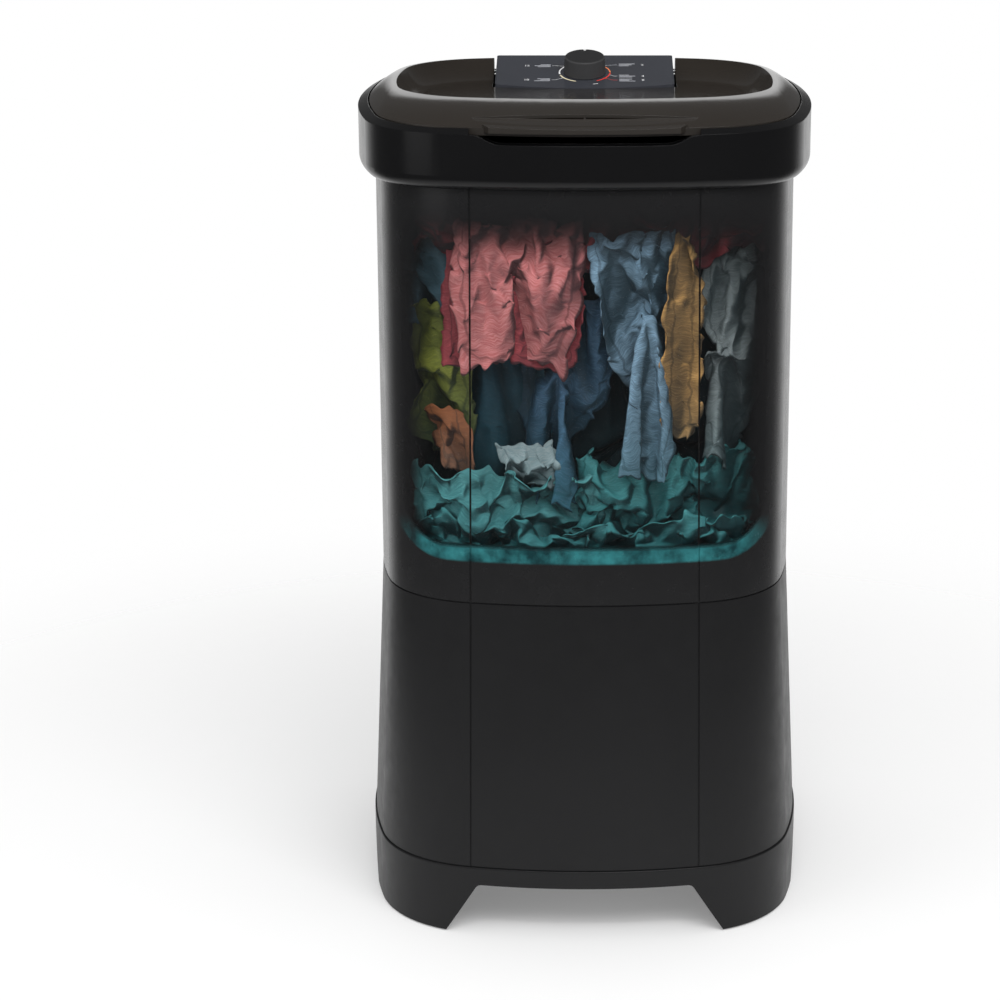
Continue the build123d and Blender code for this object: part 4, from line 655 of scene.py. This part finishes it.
def crumple(sheets):
    """Lets the growing sheets buckle and fall, and then lays them behind the wall."""
    scene = bpy.context.scene
    for sheet in sheets:
        sheet.hang()
    for step in range(1, fall_frames + 1):
        scene.frame_set(step)
    view = bpy.context.evaluated_depsgraph_get()
    made = [bpy.data.meshes.new_from_object(sheet.piece.evaluated_get(view)) for sheet in sheets]
    wall = Wall(nodes["tub"])
    for sheet, mesh in zip(sheets, made):
        sheet.settle(mesh, wall)
    scene.frame_set(1)


wide = [(0.03, 0.0, 0.010), (0.28, 0.12, 0.008), (0.62, 0.0, 0.010), (0.97, 0.04, 0.010), (0.5, 0.45, 0.006)]
top = [(0.06, 0.0, 0.014), (0.45, 0.02, 0.012), (0.92, 0.0, 0.014)]
heap = [(0.05, 0.1, 0.012), (0.3, 0.0, 0.01), (0.55, 0.15, 0.01), (0.8, 0.02, 0.01), (0.97, 0.2, 0.012),
        (0.18, 0.6, 0.008), (0.66, 0.7, 0.008), (0.42, 0.95, 0.01), (0.9, 0.9, 0.01), (0.04, 0.95, 0.01)]
some = heap[:6]
crumple([
    Sheet("load_back", (-0.24, 0.24, 0.50, 0.935), 0.088, (34, 92, 104), heap, -0.15),
    Sheet("load_band", (-0.215, 0.22, 0.865, 0.925), 0.034, (158, 52, 58), heap, -0.45),
    Sheet("load_rose_low", (-0.165, 0.000, 0.745, 0.86), 0.034, (196, 84, 92), wide, -0.22, -0.012),
    Sheet("load_rose", (-0.150, 0.000, 0.775, 0.900), 0.020, (232, 132, 132), wide, -0.42, -0.015, 0.7),
    Sheet("load_denim", (0.005, 0.110, 0.645, 0.885), 0.022, (130, 164, 188), wide, -0.38, 0.03, 0.6),
    Sheet("load_denim_low", (-0.060, 0.050, 0.600, 0.800), 0.040, (76, 112, 144), wide, -0.4, -0.055, 0.6),
    Sheet("load_navy", (-0.150, -0.060, 0.580, 0.760), 0.055, (50, 104, 128), top, -0.35, 0.02),
    Sheet("load_ochre", (0.104, 0.140, 0.700, 0.885), 0.019, (196, 152, 92), top[:1], -0.3, 0.012, 0.6),
    Sheet("load_grey", (0.140, 0.215, 0.640, 0.865), 0.048, (160, 172, 174), some, -0.4, 0.01),
    Sheet("load_green", (-0.215, -0.150, 0.640, 0.790), 0.044, (150, 158, 60), some, -0.4, 0.025),
    Sheet("load_orange", (-0.195, -0.150, 0.600, 0.665), 0.034, (206, 120, 64), some, -0.4, 0.02),
    Sheet("load_slate", (-0.220, -0.130, 0.775, 0.890), 0.052, (92, 128, 144), some, -0.4),
    Sheet("load_cuff", (-0.110, -0.030, 0.575, 0.625), 0.030, (196, 222, 228), heap, -0.4, 0.02),
    Sheet("load_aqua", (-0.212, 0.020, 0.500, 0.590), 0.024, (120, 206, 210), heap, -0.5, 0.0, 0.6),
    Sheet("load_teal", (-0.010, 0.212, 0.500, 0.615), 0.034, (92, 178, 180), heap, -0.5, 0.0, 0.5),
    Sheet("load_low", (-0.195, 0.195, 0.494, 0.532), 0.012, (110, 200, 204), heap, -0.6, 0.0, 0.6),
])


# Floor, white surroundings, lamps and camera

def stage_floor():
    """Pale floor that fades into the white surroundings."""
    mesh = bpy.data.meshes.new("floor")
    form = bmesh.new()
    bmesh.ops.create_circle(form, cap_ends=True, segments=96, radius=floor_radius)
    form.to_mesh(mesh)
    form.free()
    floor = placed("floor", mesh)
    m = Material("floor_paint")
    m.set(Base_Color=(0.98, 0.98, 0.98, 1.0), Roughness=0.55, Specular_IOR_Level=0.2,
          Normal=m.bump(m.noise(300.0), 0.00002))
    gone = m.ease(m.vector("LENGTH", m.place), *floor_fade)
    seen = m.product(m.add("LightPath").outputs["Is Camera Ray"], floor_lift)
    surface = m.shader.outputs[0]
    for share, other in ((seen, "Emission"), (gone, "BsdfTransparent")):
        surface = m.feed_all(m.add("MixShader"), share, surface, m.add(other).outputs[0]).outputs[0]
    m.feed(m.tree.nodes["Material Output"].inputs["Surface"], surface)
    mesh.materials.append(m.material)


def surroundings():
    """White to the camera, softer as light, and dark in reflections apart from two zones behind the part."""
    world = bpy.data.worlds.new("studio")
    world.use_nodes = True
    w = Tree(world.node_tree)
    w.tree.nodes.clear()
    x, y, z = w.split(w.add("TexCoord").outputs["Generated"])
    aside = w.math("ABSOLUTE", x)
    behind = w.ease(y, *zone_behind)
    floor_zone = w.product(w.ease(z, *floor_zone_z, 1.0, 0.0), w.ease(aside, *floor_zone_x, 1.0, 0.0))
    wall_zone = w.product(w.ease(aside, *wall_zone_x, 1.0, 0.0), w.ease(z, *wall_zone_z, 1.0, 0.0))
    bright = w.product(behind, w.math("MAXIMUM", floor_zone, wall_zone))
    gloss = w.spread(bright, 0.0, 1.0, room_gloss, 1.0)
    rays = w.add("LightPath").outputs
    shown = w.spread(rays["Is Glossy Ray"], 0.0, 1.0, room_light, gloss)
    white = w.math("ADD", rays["Is Camera Ray"], rays["Is Transmission Ray"])
    strength = w.spread(white, 0.0, 1.0, shown, 1.0)
    back = w.add("Background", Color=(1.0, 1.0, 1.0, 1.0), Strength=strength)
    w.feed(w.add("OutputWorld").inputs[0], back.outputs[0])
    bpy.context.scene.world = world


def lamp(name, at, aim, size, power):
    """Flat lamp of this width and height, turned towards a place."""
    data = bpy.data.lights.new(name, "AREA")
    data.shape = "RECTANGLE"
    data.size, data.size_y = size
    data.energy = power
    made = placed(name, data)
    made.location = at
    made.rotation_euler = (Vector(aim) - Vector(at)).to_track_quat("-Z", "Y").to_euler()


def camera():
    data = bpy.data.cameras.new("camera")
    data.lens = camera_lens
    data.sensor_width = camera_sensor
    data.shift_x = camera_shift
    made = placed("camera", data)
    made.location = camera_at
    made.rotation_euler = (math.pi / 2 - camera_down, 0.0, 0.0)
    bpy.context.scene.camera = made


stage_floor()
surroundings()
camera()
lamp("key", (0.7, -2.3, 2.9), (0.0, 0.0, 0.75), (2.6, 1.6), 58.0)
lamp("fill", (-2.2, -1.6, 1.5), (0.0, 0.0, 0.5), (1.6, 2.0), 10.0)
lamp("strip", (0.0, -2.4, 3.2), (0.0, 0.0, 1.0), (2.4, 0.12), 14.0)
bpy.context.scene.view_settings.view_transform = "Standard"
